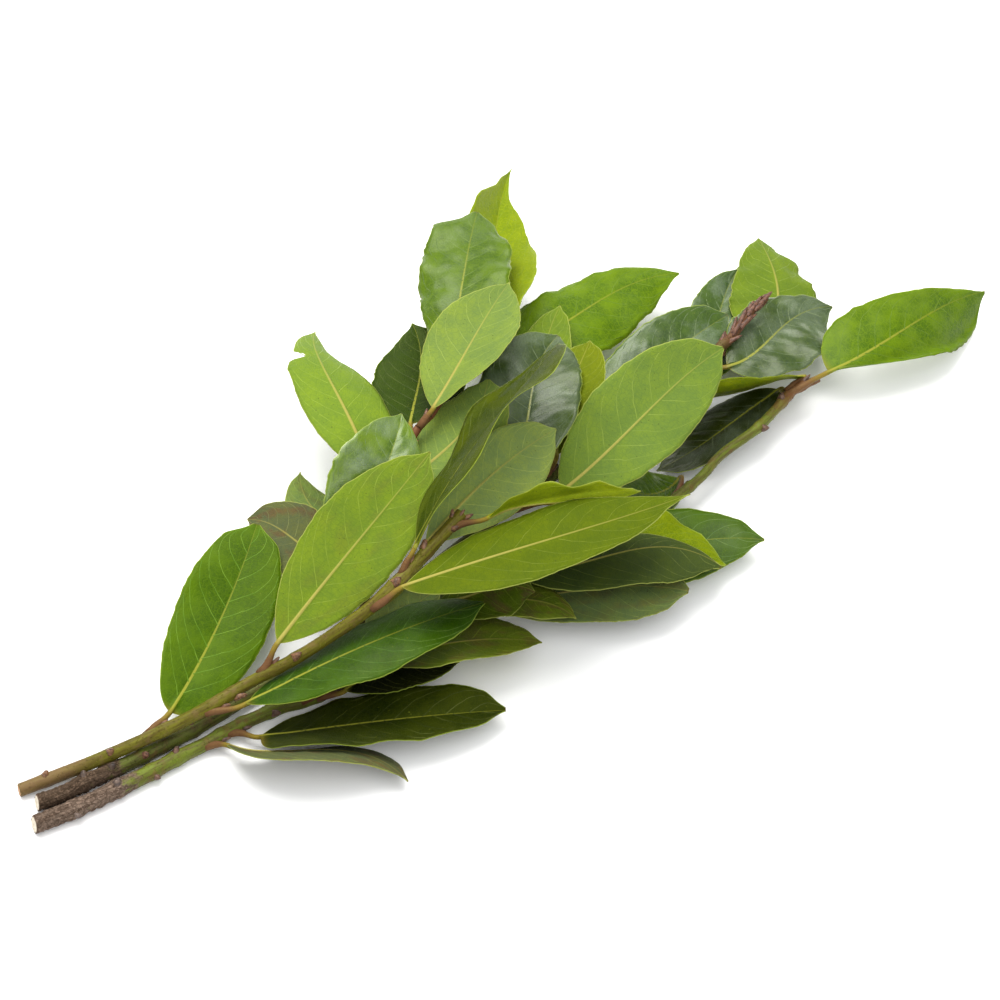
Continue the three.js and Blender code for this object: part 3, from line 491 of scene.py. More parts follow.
# each leaf: upper tone, tone of the underside, crinkle height in mm, gloss (coat and painted sheen)
leafLooks = {
    "a_leaf_1": ("vivid", "fresh", 0.12, 0.06), "a_leaf_2": ("vivid", "fresh", 0.1, 0),
    "a_leaf_3": ("leaf", "fresh", 0.12, 0.1), "a_leaf_4": ("vivid", "lime", 0.12, 0),
    "a_leaf_5": ("moss", "spring", 0.3, 0), "a_leaf_6": ("mustard", "spring", 0.3, 0),
    "a_leaf_7": ("green", "frost", 0.1, 0), "b_leaf_1": ("deep", "bronze", 0.15, 0),
    "b_leaf_2": ("deep", "grey", 0.15, 0), "b_leaf_3": ("bright", "sage", 0.5, 1.6),
    "b_leaf_4": ("bright", "soft", 0.1, 0), "b_leaf_5": ("pine", "sage", 0.12, 0.05),
    "b_leaf_6": ("grass", "sage", 0.8, 0.5), "b_leaf_7": ("vivid", "pale", 0.08, 0),
    "b_leaf_8": ("lime", "pale", 0.3, 0.05), "b_leaf_9": ("bright", "soft", 0.5, 0.1),
    "b_leaf_10": ("bright", "fresh", 0.3, 0.1), "b_leaf_11": ("lime", "leek", 0.2, 0),
    "b_leaf_12": ("steel", "grey", 0.4, 1.1), "b_leaf_13": ("bright", "pale", 0.15, 0),
    "b_leaf_14": ("green", "sage", 0.12, 0), "b_leaf_15": ("green", "sage", 0.5, 1.4),
    "b_leaf_16": ("green", "sage", 0.5, 1.4), "b_leaf_17": ("bright", "fresh", 0.5, 0.1),
    "b_leaf_18": ("steel", "sage", 0.9, 1), "b_leaf_19": ("mellow", "lime", 0.4, 0),
    "b_leaf_20": ("green", "frost", 0.2, 0), "c_leaf_1": ("bright", "pale", 0.3, 0.15),
    "c_leaf_2": ("lime", "leek", 0.3, 0), "c_leaf_3": ("dark", "dull", 0.6, 0.8),
    "c_leaf_4": ("bright", "slate", 0.2, 1.0), "c_leaf_5": ("green", "sage", 0.25, 0.3),
    "c_leaf_6": ("deep", "dull", 0.12, 0), "c_leaf_7": ("deep", "slate", 0.15, 0),
    "c_leaf_8": ("olive", "moss", 0.3, 0), "c_leaf_9": ("deep", "sedge", 0.3, 0),
    "c_leaf_10": ("mustard", "moss", 0.25, 0), "c_leaf_11": ("night", "dull", 0.2, 0),
    "c_leaf_12": ("dark", "dull", 0.15, 0), "c_leaf_13": ("dark", "bronze", 0.3, 0),
}
# marks of single leaves: bites = side, place, half length, depth (less than 0 swells); hem = a margin
# that turns up: side, height in mm; wave = deeper waves; veins = how much paler; age = brown blotches;
# cloudy = strength of the blade's patches
leafMarks = {
    "a_leaf_1": {"veins": 1.7}, "a_leaf_2": {"age": 0.16}, "a_leaf_3": {"veins": 1.6},
    "a_leaf_4": {"bites": [(1, 0.9, 0.06, 0.34), (-1, 0.93, 0.05, 0.2)]},
    "a_leaf_5": {"wave": (2.3, 2), "hem": (-1, 2.8), "bites": [(-1, 0.86, 0.05, 0.12)]},
    "a_leaf_6": {"wave": (1.2, 3)}, "a_leaf_7": {"veins": 1.1},
    "b_leaf_1": {"age": 0.75}, "b_leaf_2": {"age": 0.3},
    "b_leaf_4": {"bites": [(-1, 0.675, 0.028, 0.52), (-1, 0.58, 0.06, -0.14), (-1, 0.86, 0.07, -0.2),
                           (1, 0.8, 0.1, 0.24)]},
    "b_leaf_6": {"bites": [(-1, 0.93, 0.045, 0.32), (-1, 0.85, 0.05, -0.14), (1, 0.86, 0.05, 0.14),
                           (1, 0.72, 0.05, -0.05), (1, 0.6, 0.03, 0.05)]},
    "b_leaf_8": {"cloudy": 0.35, "bites": [(-1, 0.86, 0.05, 0.25), (-1, 0.72, 0.05, -0.1),
                                           (1, 0.84, 0.08, 0.18)]},
    "b_leaf_9": {"bites": [(-1, 0.72, 0.025, 0.08), (-1, 0.5, 0.03, 0.08), (1, 0.9, 0.06, 0.16)]},
    "b_leaf_11": {"cloudy": 0.6},
    "b_leaf_17": {"bites": [(1, 0.86, 0.04, 0.2), (1, 0.66, 0.03, 0.14), (1, 0.75, 0.04, -0.08),
                            (1, 0.5, 0.03, 0.1)]},
    "b_leaf_18": {"bites": [(1, 0.9, 0.03, 0.15), (1, 0.76, 0.03, 0.1), (-1, 0.8, 0.04, 0.1)]},
    "b_leaf_19": {"wave": (1.5, 4), "cloudy": 0.5}, "b_leaf_20": {"age": 0.3},
    "c_leaf_1": {"hem": (1, 5.0)}, "c_leaf_5": {"veins": 1.4}, "c_leaf_7": {"age": 0.3},
    "c_leaf_8": {"age": 0.5}, "c_leaf_9": {"hem": (1, 1.4), "age": 0.6}, "c_leaf_10": {"age": 0.45},
    "c_leaf_12": {"wave": (0.8, 4)}, "c_leaf_13": {"age": 0.6},
}
# brown blotches of old leaves: grain = along, across and shift between the faces; tip = how many more
# there, and from where
ageSpots = {"tone": (0.105, 0.06, 0.022), "grain": (4.5, 2.2, 3.0), "tip": (0.5, 0.8), "edge": (0.0, 0.55)}

def markOf(leaf, key, usual):
    return leafMarks.get(leaf["name"], {}).get(key, usual)

# heights and widths in millimetres, places along the blade from 0 to 1
bladeShape = {
    "rows": 92, "stalkRows": 12, "sideColumns": 13, "ribColumns": (0, 0.2, 0.42, 0.75, 1.25),
    "narrow": (2.0, 5.0), "thick": 0.15, "thinEdge": (0.55, 5), "stalkHalf": 0.9, "stalkThick": 0.8,
    "stalkEnd": 0.14, "tipHalf": 0.25, "lastRow": 0.992, "ribRise": (0.62, 0.8, 1.6), "ribHalf": 0.7,
    "groove": 0.16, "ribLine": (1.2, 0.22), "hemStart": 0.62, "hemPull": 0.22, "leastCurl": 0.001,
    "low": 0.00002, "noLeafEdge": 9.0, "leafShift": 13.7, "faceShift": 5,
}
# unevenness of a blade: margin and crisp = height of a noise, its grain along the blade and its shifts
# between the sides and between leaves; crinkle = grain along and across, and shift between leaves
uneven = {
    "start": 0.04, "margin": ((0.018, 6, 3.1, 1.7), (0.02, 21, 3.1, 2.3)), "byCrinkle": 1.5,
    "pinch": (0.6, 0.9), "sharpBite": 0.4, "waveShift": 1.3, "crisp": (0.16, 16, 5.0, 0.5),
    "quiltMore": (0.8, 2.2), "quiltStart": 5, "crinkled": 0.2, "crinkle": (5.5, 2.2, 3.3), "crinkleStart": 3,
}
# the petiole: how far below its bud it joins the stem, the handles of its curve, how its foot swells
stalkShape = {
    "down": 3.5, "foot": 0.95, "root": 0.5, "rootDown": 3, "handle": 0.36, "ahead": 0.85, "away": 0.5,
    "swell": 0.55, "swellFrom": 0.35,
}
veinShape = {
    "pairs": 9, "slant": 0.17, "loop": 0.16, "reach": 0.93, "width": 0.222, "pucker": 0.08, "first": 0.02,
    "span": 0.9, "last": 0.97, "stagger": 0.2, "jitter": 0.14, "steps": 15, "sides": 6, "shake": 0.07,
    "shakeGrain": (1.4, 3.0), "shakeAt": (3.5, 7.3), "thin": -0.28, "halfBlade": 14.0,
}

def midrib(leaf, t):
    h, r = math.radians(leaf["heading"]), math.radians(leaf["rise"])
    t = np.asarray(t, float)[:, None]
    chord = np.array([math.cos(r) * math.cos(h), math.cos(r) * math.sin(h), math.sin(r)])
    side = unit(np.cross(chord, (0, 0, 1)))
    up = np.cross(side, chord)
    chord = chord * leaf["length"]
    swell, slope = 4 * t * (1 - t), 4 * (1 - 2 * t)
    bow0, bow1 = leaf["bow"]
    bow = bow0 * (1 - t) + bow1 * t
    point = np.array(leaf["base"]) + chord * t + up * swell * leaf["arch"] + side * swell * bow
    ahead = unit(chord + up * slope * leaf["arch"] + side * (slope * bow + swell * (bow1 - bow0)))
    level = unit(np.cross(ahead, (0, 0, 1)))
    normal = np.cross(level, ahead)
    roll = np.radians(leaf["roll"] + leaf["twist"] * (t - 0.5))
    turn, lean = np.cos(roll), np.sin(roll)
    return point, ahead, level * turn + normal * lean, normal * turn - level * lean

def halfWidth(leaf, t, right):
    widest = leaf["widest"][1 if right else 0]
    t = np.clip(t, 1e-6, 1)
    share = (t / widest) ** (leaf["full"] * widest)
    share = share * (np.maximum(1 - t, 0) / (1 - widest)) ** (leaf["full"] * (1 - widest))
    return leaf["width"] / 2 * (1 + (leaf["lop"] if right else -leaf["lop"])) * share

def marginWidth(leaf, number, t, side, crinkle):
    # half width of one side with its uneven margin, its pinched tip and its bites
    width = float(halfWidth(leaf, t, side > 0)) if t >= 0 else 0.0
    if t > uneven["start"]:
        wobble = sum(high * hills(t * fine, side * shift, number * apart)
                     for high, fine, shift, apart in uneven["margin"])
        pinch, start = uneven["pinch"]
        width *= 1 + wobble * (1 + crinkle * uneven["byCrinkle"])
        width *= 1 - pinch * float(smooth(t, start, 1.0))
    for biteSide, place, half, deep in markOf(leaf, "bites", []):
        if biteSide == side:
            sharp = 4 if deep > uneven["sharpBite"] else 2
            width *= 1 - deep * math.exp(-abs((t - place) / half) ** sharp)
    return max(width, bladeShape["stalkHalf"] if t < 0.5 else bladeShape["tipHalf"])

def columnPlaces(width, count):
    # distance from the midrib of each column, close together at the rib and even further out
    close = bladeShape["ribColumns"]
    left = count - len(close) + 1
    far = close[-1] + (width - close[-1]) * np.arange(1, left + 1) / left
    blend = float(smooth(width, *bladeShape["narrow"]))
    return np.array([*close, *far]) * blend + width * np.arange(count + 1) / count * (1 - blend)

def veinPhase(t, s, side):
    # whole numbers lie on a side vein
    v = veinShape
    along = (t - v["slant"] * s - v["loop"] * s ** 5 - v["first"]) / v["span"]
    return along * v["pairs"] - 0.5 - v["stagger"] * side

def skinLift(leaf, number, t, s, side, looks):
    # waves, crisp margin, quilting between the veins, hem and crinkles: how far up, and how far inwards
    crinkle, gloss = looks
    fade = math.sin(math.pi * min(t, 1))
    high, count = markOf(leaf, "wave", leaf["wave"])
    lift = high * s * s * math.sin(2 * math.pi * count * t + (uneven["waveShift"] if side > 0 else 0))
    crisp, fine, shift, apart = uneven["crisp"]
    lift += crisp * s ** 4 * hills(t * fine, side * shift, number + apart)
    byCrinkle, byGloss = uneven["quiltMore"]
    quilt = veinShape["pucker"] * (1 + byCrinkle * crinkle + byGloss * gloss) * (-1 if leaf["under"] else 1)
    quilt *= math.sin(math.pi * veinPhase(t, s, side)) ** 2
    lift += quilt * min(1, s * uneven["quiltStart"]) * (1 - s ** 3)
    hemSide, hem = markOf(leaf, "hem", (0, 0))
    over = hem * float(smooth(s, bladeShape["hemStart"], 1.0)) ** 2 if side == hemSide else 0
    lift += over
    if crinkle > uneven["crinkled"]:
        fine, wide, apart = uneven["crinkle"]
        bumps = hills(t * fine, side * s * wide, number * apart)
        lift += crinkle * bumps * min(1, s * uneven["crinkleStart"])
    return lift * fade, over * bladeShape["hemPull"]

def bladeRow(leaf, number, t, frameAt, stalk, looks):
    # one row of places across a blade: the middle skin, its normal, distance from the rib, share and edge
    point, _, across, out = frameAt
    places = []
    for side in (-1, 1):
        width = marginWidth(leaf, number, t, side, looks[0])
        fold = math.radians(leaf["fold"]) * (1 - stalk)
        curl = math.radians(leaf["curl"][1 if side > 0 else 0]) * (1 - stalk) or bladeShape["leastCurl"]
        half = []
        for y in columnPlaces(width, bladeShape["sideColumns"]):
            s = y / width
            turn = fold + curl * s
            x = width * (math.sin(turn) - math.sin(fold)) / curl
            lift = width * (math.cos(fold) - math.cos(turn)) / curl
            if t > 0:
                up, inwards = skinLift(leaf, number, t, s, side, looks)
                x, lift = x - inwards, lift + up
            tilt = 0 if y == 0 else turn
            normal = -across * math.sin(tilt) * side + out * math.cos(tilt)
            half.append((point + across * x * side + out * lift, normal, y * side, s * side, width - y))
        places += half[::-1] if side < 0 else half[1:]
    return [np.array(column) for column in zip(*places)]

def thickness(y, s, t, stalk, upper, under):
    # the top of the drawn blade is its upper face, unless the leaf lies underside up
    shape = bladeShape
    edge, power = shape["thinEdge"]
    thin = shape["thick"] * (1 - edge * np.abs(s) ** power)
    ribFall = (np.abs(y) / shape["ribHalf"]) ** 2
    if t >= 0 and upper == under:
        rise, taper, sharp = shape["ribRise"]
        thin = thin + rise * (1 - t) ** taper * np.exp(-ribFall * sharp)
    elif t >= 0:
        high, half = shape["ribLine"]
        ribLine = high * np.exp(-(np.abs(y) / half) ** 2)
        thin = thin + shape["groove"] * (1 - t) * (ribLine - np.exp(-ribFall))
    arc = np.sqrt(np.clip(1 - (np.abs(y) / (shape["stalkHalf"] * 1.001)) ** 2, 0, 1))
    return thin * (1 - stalk) + np.maximum(shape["stalkThick"] * arc, thin * (1 - stalk)) * stalk

def petiolePath(leaf, foot):
    # the petiole leaves the stem at a sharp angle, its foot running down along the skin
    shape, point, ahead = stalkShape, Vector(foot[0]), Vector(foot[1])
    stemPoint, stemAhead, radius = stemAt(stems[leaf["on"]], leaf["at"])
    reach = point - stemPoint
    away = (reach - stemAhead * reach.dot(stemAhead)).normalized()
    lower = stemAt(stems[leaf["on"]], max(leaf["at"] - shape["down"], 1))[0]
    start = lower + away * radius * shape["foot"]
    span = (start - point).length
    handle = span * shape["handle"]
    leaving = (stemAhead * shape["ahead"] + away * shape["away"]) * handle
    knots = [start, start + leaving, point - ahead * handle, point]
    return knots, lower + away * radius * shape["root"] - stemAhead * shape["rootDown"], span

def bezier(knots, u):
    a, b, c, d = knots
    v = 1 - u
    place = a * v ** 3 + b * 3 * u * v * v + c * 3 * u * u * v + d * u ** 3
    ahead = (b - a) * 3 * v * v + (c - b) * 6 * u * v + (d - c) * 3 * u * u
    return place, ahead.normalized()

def leafRows(leaf, number, looks):
    # rows from the root of the petiole to the tip: place, stalk, way down the stalk, swelling, row
    shape = bladeShape
    turns = math.pi * np.arange(shape["rows"]) / (shape["rows"] - 1)
    ts = np.minimum((1 - np.cos(turns)) / 2, shape["lastRow"])
    frames = midrib(leaf, ts)
    rows = []
    for i, t in enumerate(ts):
        stalk = float(1 - smooth(t, 0, shape["stalkEnd"]))
        rows.append((t, stalk, 0.0, 1, bladeRow(leaf, number, t, [f[i] for f in frames], stalk, looks)))
    foot = [f[0] for f in frames]
    knots, root, span = petiolePath(leaf, foot)
    frameAt = [Vector(v) for v in foot]
    count = shape["stalkRows"]
    for k in range(1, count + 2):
        u = 1 - k / count
        place, ahead = bezier(knots, u) if k <= count else (root, (knots[0] - root).normalized())
        turn = frameAt[1].rotation_difference(ahead)
        frameAt = [place, ahead, turn @ frameAt[2], turn @ frameAt[3]]
        centre = np.array(place)
        middle, *rest = bladeRow(leaf, number, -1, [np.array(v) for v in frameAt], 1.0, (0, 0))
        swell = 1 + stalkShape["swell"] * float(smooth(1 - u, stalkShape["swellFrom"], 1.0))
        rows.insert(0, (-k / count, 1.0, k / count, swell, (centre + (middle - centre) * swell, *rest)))
    return rows, span

def paintRow(leaf, number, t, shares, face):
    # tone of each place in a row, with brown blotches on old leaves
    upperTone, underTone = leafLooks[leaf["name"]][:2]
    shade = upperTones[upperTone] if (face > 0) != leaf["under"] else underTones[underTone]
    painted = np.tile([*shade, markOf(leaf, "cloudy", 1)], (len(shares), 1))
    age = markOf(leaf, "age", 0)
    fine, wide, apart = ageSpots["grain"]
    more, tip = ageSpots["tip"]
    if age and t > 0:
        for k, share in enumerate(shares):
            spot = hills(t * fine, share * wide + number, face * apart) + more * float(smooth(t, tip, 1))
            painted[k, :3] = mixTone(shade, ageSpots["tone"], age * float(smooth(spot, *ageSpots["edge"])))
    return painted

def leafFaces(total, across, under):
    # quads round each row of places, and a strip of quads to close each end
    count = 2 * across
    faces, kinds = [], []
    for i in range(total - 1):
        for k in range(count):
            a, b = i * count + k, i * count + (k + 1) % count
            faces.append((a, b, b + count, a + count))
            kinds.append(0 if (k < across) != under else 1)
    for first in (0, (total - 1) * count):
        for j in range(across - 1):
            quad = (first + j, first + j + 1, first + count - 2 - j, first + count - 1 - j)
            faces.append(quad[::-1] if first == 0 else quad)
            kinds.append(1)
    return faces, kinds

def makeLeafMesh(leaf, number):
    crinkle, gloss = leafLooks[leaf["name"]][2:]
    rows, span = leafRows(leaf, number, (crinkle, gloss))
    shape = bladeShape
    across = 2 * shape["sideColumns"] + 1
    spots, flat, part, edge, tone = [], [], [], [], []
    for t, stalk, down, swell, (middle, normals, signed, shares, edges) in rows:
        length = leaf["length"] * t if t >= 0 else -down * span
        for face in (1, -1):
            order = slice(None, None, face)
            patch = number * shape["leafShift"] + face * shape["faceShift"]
            thick = thickness(signed, shares, t, stalk, face > 0, leaf["under"]) * swell
            spots.append((middle + normals * (face * thick)[:, None])[order])
            flat.append([(length, y, patch) for y in signed[order]])
            part.append([(max(t, 0), abs(s), stalk + down) for s in shares[order]])
            edge.append(edges[order] if t >= 0 else np.full(across, shape["noLeafEdge"]))
            tone.append(paintRow(leaf, number, t, shares[order], face))
    points = np.concatenate(spots) * mm
    points[:, 2] = np.maximum(points[:, 2], shape["low"])
    faces, kinds = leafFaces(len(rows), across, leaf["under"])
    mesh = newMesh(leaf["name"] + "_leaf", points, [], faces)
    mesh.polygons.foreach_set("material_index", kinds)
    mesh.polygons.foreach_set("use_smooth", [True] * len(faces))
    for name, kind, values in (("flat", "FLOAT_VECTOR", flat), ("part", "FLOAT_VECTOR", part),
                               ("edge", "FLOAT", edge), ("tone", "FLOAT_COLOR", tone)):
        giveAttribute(mesh, name, kind, np.concatenate(values))
    giveAttribute(mesh, "gloss", "FLOAT", np.full(len(points), gloss))
    mesh.update()
    return mesh, [(t, row[0], row[3]) for t, stalk, down, swell, row in rows if t >= 0]

def makeSheet(name, sheet):
    # the blade's middle skin as a plain sheet with a UV map: u along, v across
    columns = len(sheet[0][2])
    uv = np.array([(t, 0.5 + share / 2) for t, _, shares in sheet for share in shares], dtype=np.float32)
    faces = [(i * columns + k, i * columns + k + 1, (i + 1) * columns + k + 1, (i + 1) * columns + k)
             for i in range(len(sheet) - 1) for k in range(columns - 1)]
    mesh = newMesh(name + "_sheet", np.concatenate([middle for _, middle, _ in sheet]) * mm, [], faces)
    layer = mesh.uv_layers.new(name="blade")
    layer.data.foreach_set("uv", uv[np.array(faces).ravel()].ravel())
    return newPiece(mesh)

# helpers for Geometry Nodes
def readNamed(tree, name, kind="FLOAT"):
    node = addNode(tree, "GeometryNodeInputNamedAttribute", {"data_type": kind}, Name=name)
    return pick(node.outputs, "Attribute")

def storeNamed(tree, shape, name, kind, value):
    return addShape(tree, "GeometryNodeStoreNamedAttribute", {"data_type": kind, "domain": "POINT"},
                    Geometry=shape, Name=name, Value=value)

def splitPosition(tree):
    return splitVector(tree, addShape(tree, "GeometryNodeInputPosition"))

def joinShapes(tree, *shapes):
    join = tree.nodes.new("GeometryNodeJoinGeometry")
    for shape in shapes:
        tree.links.new(shape, join.inputs[0])
    return addShape(tree, "GeometryNodeRealizeInstances", Geometry=join.outputs[0])

def makeVeinTree():
    # side veins that follow the blade: thin tubes in its middle skin, a hair thicker than the blade
    tree, given, put = newTree("GeometryNodeTree", "sideVeins", {
        "Leaf": "Geometry", "Sheet": "Object", "Pairs": "Int", "Slant": "Float", "Loop": "Float",
        "Reach": "Float", "Width": "Float", "Length": "Float", "Tone": "Vector", "Number": "Float",
        "Seed": "Int", "Material": "Material"}, {"Leaf": "Geometry"})
    calc, shape, join, store = toolsFor(tree, reckon, addShape, joinVector, storeNamed)
    look = veinShape
    # a row of straight lines, one for each vein, numbered by their place in y
    dots = shape("GeometryNodePoints", Count=calc("MULTIPLY", given["Pairs"], 2.0),
                 Position=join(y=shape("GeometryNodeInputIndex")))
    line = shape("GeometryNodeCurvePrimitiveLine", Start=(0, 0, 0), End=(1, 0, 0))
    line = shape("GeometryNodeResampleCurve", Curve=line, Count=look["steps"])
    lines = shape("GeometryNodeInstanceOnPoints", Points=dots, Instance=line)
    lines = shape("GeometryNodeRealizeInstances", Geometry=lines)
    out, vein, _ = splitPosition(tree)
    vein = calc("ROUND", vein)
    side = calc("SUBTRACT", calc("MULTIPLY", calc("MODULO", vein, 2.0), 2.0), 1.0)
    pair = calc("FLOOR", calc("DIVIDE", vein, 2.0))
    share = calc("MULTIPLY", out, given["Reach"])
    # where each place of a vein lies along and across the blade
    jitter = addNode(tree, "FunctionNodeRandomValue", {"data_type": "FLOAT"}, Min=-look["jitter"],
                     Max=look["jitter"], ID=vein, Seed=given["Seed"])
    foot = calc("ADD", pair, calc("MULTIPLY_ADD", side, look["stagger"], 0.5))
    foot = calc("DIVIDE", calc("ADD", foot, pick(jitter.outputs, "Value")), given["Pairs"])
    along = calc("MULTIPLY_ADD", foot, look["span"], look["first"])
    along = calc("MULTIPLY_ADD", share, given["Slant"], along)
    along = calc("MULTIPLY_ADD", calc("POWER", share, 5.0), given["Loop"], along)
    grain, apart = look["shakeAt"]
    spot = join(calc("MULTIPLY", share, grain), calc("MULTIPLY", vein, apart), given["Number"])
    shake = calc("SUBTRACT", clouds(tree, spot, *look["shakeGrain"]), 0.5)
    along = calc("MULTIPLY_ADD", calc("MULTIPLY", shake, share), look["shake"], along)
    along = calc("MINIMUM", along, look["last"])
    across = calc("MULTIPLY", side, share)
    sheet = addNode(tree, "GeometryNodeObjectInfo", {"transform_space": "ORIGINAL"}, Object=given["Sheet"])
    sample = addNode(tree, "GeometryNodeSampleUVSurface", {"data_type": "FLOAT_VECTOR"},
                     Mesh=sheet.outputs["Geometry"], Value=shape("GeometryNodeInputPosition"),
                     UV_Map=readNamed(tree, "blade", "FLOAT_VECTOR"),
                     Sample_UV=join(along, calc("MULTIPLY_ADD", across, 0.5, 0.5))).outputs
    flat = join(calc("MULTIPLY", calc("MULTIPLY", along, given["Length"]), 1 / mm),
                calc("MULTIPLY", across, look["halfBlade"]), given["Number"])
    lines = store(lines, "veinShare", "FLOAT", out)
    lines = store(lines, "flat", "FLOAT_VECTOR", flat)
    lines = store(lines, "tone", "FLOAT_COLOR", given["Tone"])
    found = pick(sample, "Is Valid")
    lines = shape("GeometryNodeSetPosition", Geometry=lines, Selection=found, Position=pick(sample, "Value"))
    lines = shape("GeometryNodeDeleteGeometry", {"domain": "POINT"}, Geometry=lines,
                  Selection=shape("FunctionNodeBooleanMath", {"operation": "NOT"}, Boolean=found))
    thin = calc("MULTIPLY_ADD", readNamed(tree, "veinShare"), look["thin"], 1.0)
    thin = calc("MULTIPLY", thin, given["Width"])
    ring = shape("GeometryNodeCurvePrimitiveCircle", Resolution=look["sides"], Radius=1.0)
    tubes = shape("GeometryNodeCurveToMesh", Curve=lines, Profile_Curve=ring, Scale=thin, Fill_Caps=True)
    tubes = shape("GeometryNodeSetMaterial", Geometry=tubes, Material=given["Material"])
    tubes = shape("GeometryNodeSetShadeSmooth", Geometry=tubes, Shade_Smooth=True)
    linkIn(tree, put["Leaf"], joinShapes(tree, given["Leaf"], tubes))
    return tree

def stemAt(stem, at):
    along = stem["along"]
    at = min(max(at, 0), along[-1])
    k = min(int(np.searchsorted(along, at, side="right")) - 1, len(along) - 2)
    f = (at - along[k]) / (along[k + 1] - along[k])
    point = stem["points"][k] * (1 - f) + stem["points"][k + 1] * f
    ahead = unit(stem["points"][k + 1] - stem["points"][k])
    return Vector(point), Vector(ahead), float(stem["radius"][k] * (1 - f) + stem["radius"][k + 1] * f)

# centre line of each stem from its cut end: x, y, z, radius in millimetres
routes = {
    "a": [
        [-165.5, -124, 2.5, 2.3], [-153, -118.5, 3, 2.3], [-140, -114, 5.5, 2.3],
        [-127.5, -109, 8, 2.2], [-115, -103.5, 10.5, 2.2], [-104, -98, 13, 2.3],
        [-93, -91.5, 15.5, 2.1], [-80, -86, 19.5, 2.1], [-67, -80, 25, 2.1],
        [-54.5, -73, 30.5, 2.3], [-46.5, -67, 34, 2.9], [-41.5, -61.5, 36, 2.3],
        [-35, -55, 39, 2.2], [-25, -43.5, 42, 2.2],
    ],
    "b": [
        [-159.5, -129, 3, 2.9], [-152, -126, 3, 2.9], [-143, -120.5, 3, 2.9],
        [-134, -115.5, 3, 2.8], [-125, -110, 3, 2.7], [-112.5, -102, 3, 2.6],
        [-94, -88, 3, 2.5], [-78.5, -76, 4.5, 2.4], [-59, -60.5, 6.5, 2.3],
        [-36, -41.5, 9, 2.2], [-12.5, -19.5, 10.5, 2.1], [8.5, -1, 12, 2],
        [26, 13.5, 14.5, 1.9], [44, 29, 17, 1.8], [66.5, 48.5, 21, 1.6],
        [71, 53, 22, 1.8], [77.5, 62.5, 23.5, 1.5], [83.5, 68, 25, 1.1],
    ],
    "c": [
        [-159.5, -137, 3, 3.1], [-151, -133, 3, 3.1], [-142, -128.5, 3, 3.1],
        [-133, -123, 3, 3], [-124, -117.5, 3, 2.7], [-115, -111.5, 3, 2.5],
        [-107.5, -107, 3, 2.4], [-96.5, -99.5, 3, 2.3], [-84, -93, 3, 2.3],
        [-73, -89, 3, 2.2], [-45.5, -73, 4, 2.1], [-12.5, -54, 5.5, 2],
        [21.5, -32, 7, 1.9], [53, -7, 10, 1.8], [64.5, 6, 11.5, 1.8],
        [77, 16.5, 12.5, 1.8], [86, 27, 13, 1.8], [92, 34.5, 13, 1.7],
        [101, 39.5, 13.5, 1.4],
    ],
    "shoot": [
        [-58.5, -60.5, 7.5, 1.6], [-55.5, -45.5, 14, 1.5], [-51, -35, 22, 1.5],
        [-46.5, -22, 30, 1.45], [-42, -6.5, 36.5, 1.4], [-35, 3, 39, 1.4],
        [-25.5, 24, 38.5, 1.3], [-19.5, 37, 37, 1.2],
    ],
}

routeSteps = 24  # places between two points of a route

def followRoute(route):
    # smooth line through a route's points, with its radius
    rows = np.array(route, float)
    padded = np.vstack([2 * rows[0] - rows[1], rows, 2 * rows[-1] - rows[-2]])
    points = []
    for i in range(1, len(padded) - 2):
        p0, p1, p2, p3 = padded[i - 1:i + 3, :3]
        for f in np.linspace(0, 1, routeSteps, endpoint=i == len(padded) - 3):
            bend = (2 * p0 - 5 * p1 + 4 * p2 - p3) * f * f + (3 * p1 - p0 - 3 * p2 + p3) * f ** 3
            radius = padded[i, 3] * (1 - f) + padded[i + 1, 3] * f
            points.append([*(2 * p1 + (p2 - p0) * f + bend) / 2, radius])
    points = np.array(points)
    along = np.concatenate([[0], np.cumsum(np.linalg.norm(np.diff(points[:, :3], axis=0), axis=1))])
    return {"points": points[:, :3], "radius": points[:, 3], "along": along}

stems = {key: followRoute(route) for key, route in routes.items()}

def finishLeaf(piece, leaf):
    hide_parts(leaf["name"])
    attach(piece, "root")

def makeLeaves():
    veinTree = makeVeinTree()
    for number, leaf in enumerate(leafTable):
        mesh, sheet = makeLeafMesh(leaf, number)
        piece = newPiece(mesh, leafUpper, leafUnder)
        middle = makeSheet(leaf["name"], sheet)
        upperTone, underTone, _, gloss = leafLooks[leaf["name"]]
        tone = underTones[underTone] if leaf["under"] else upperTones[upperTone]
        # the veins of glossy leaves take in part of the painted sheen colour
        tone = mixTone(tone, paintedSheenTone, veinLook["sheenPaint"] * min(gloss, 1))
        runTree(piece, veinTree, {
            "Sheet": middle, "Pairs": veinShape["pairs"], "Slant": veinShape["slant"],
            "Loop": veinShape["loop"], "Reach": veinShape["reach"], "Width": veinShape["width"] * mm,
            "Length": leaf["length"] * mm, "Tone": tuple(v * markOf(leaf, "veins", 1) for v in tone),
            "Number": float(number), "Seed": number + 3, "Material": veinMaterial})
        bpy.data.objects.remove(middle)
        finishLeaf(piece, leaf)
    print("leaves made", len(leafTable))

makeLeaves()

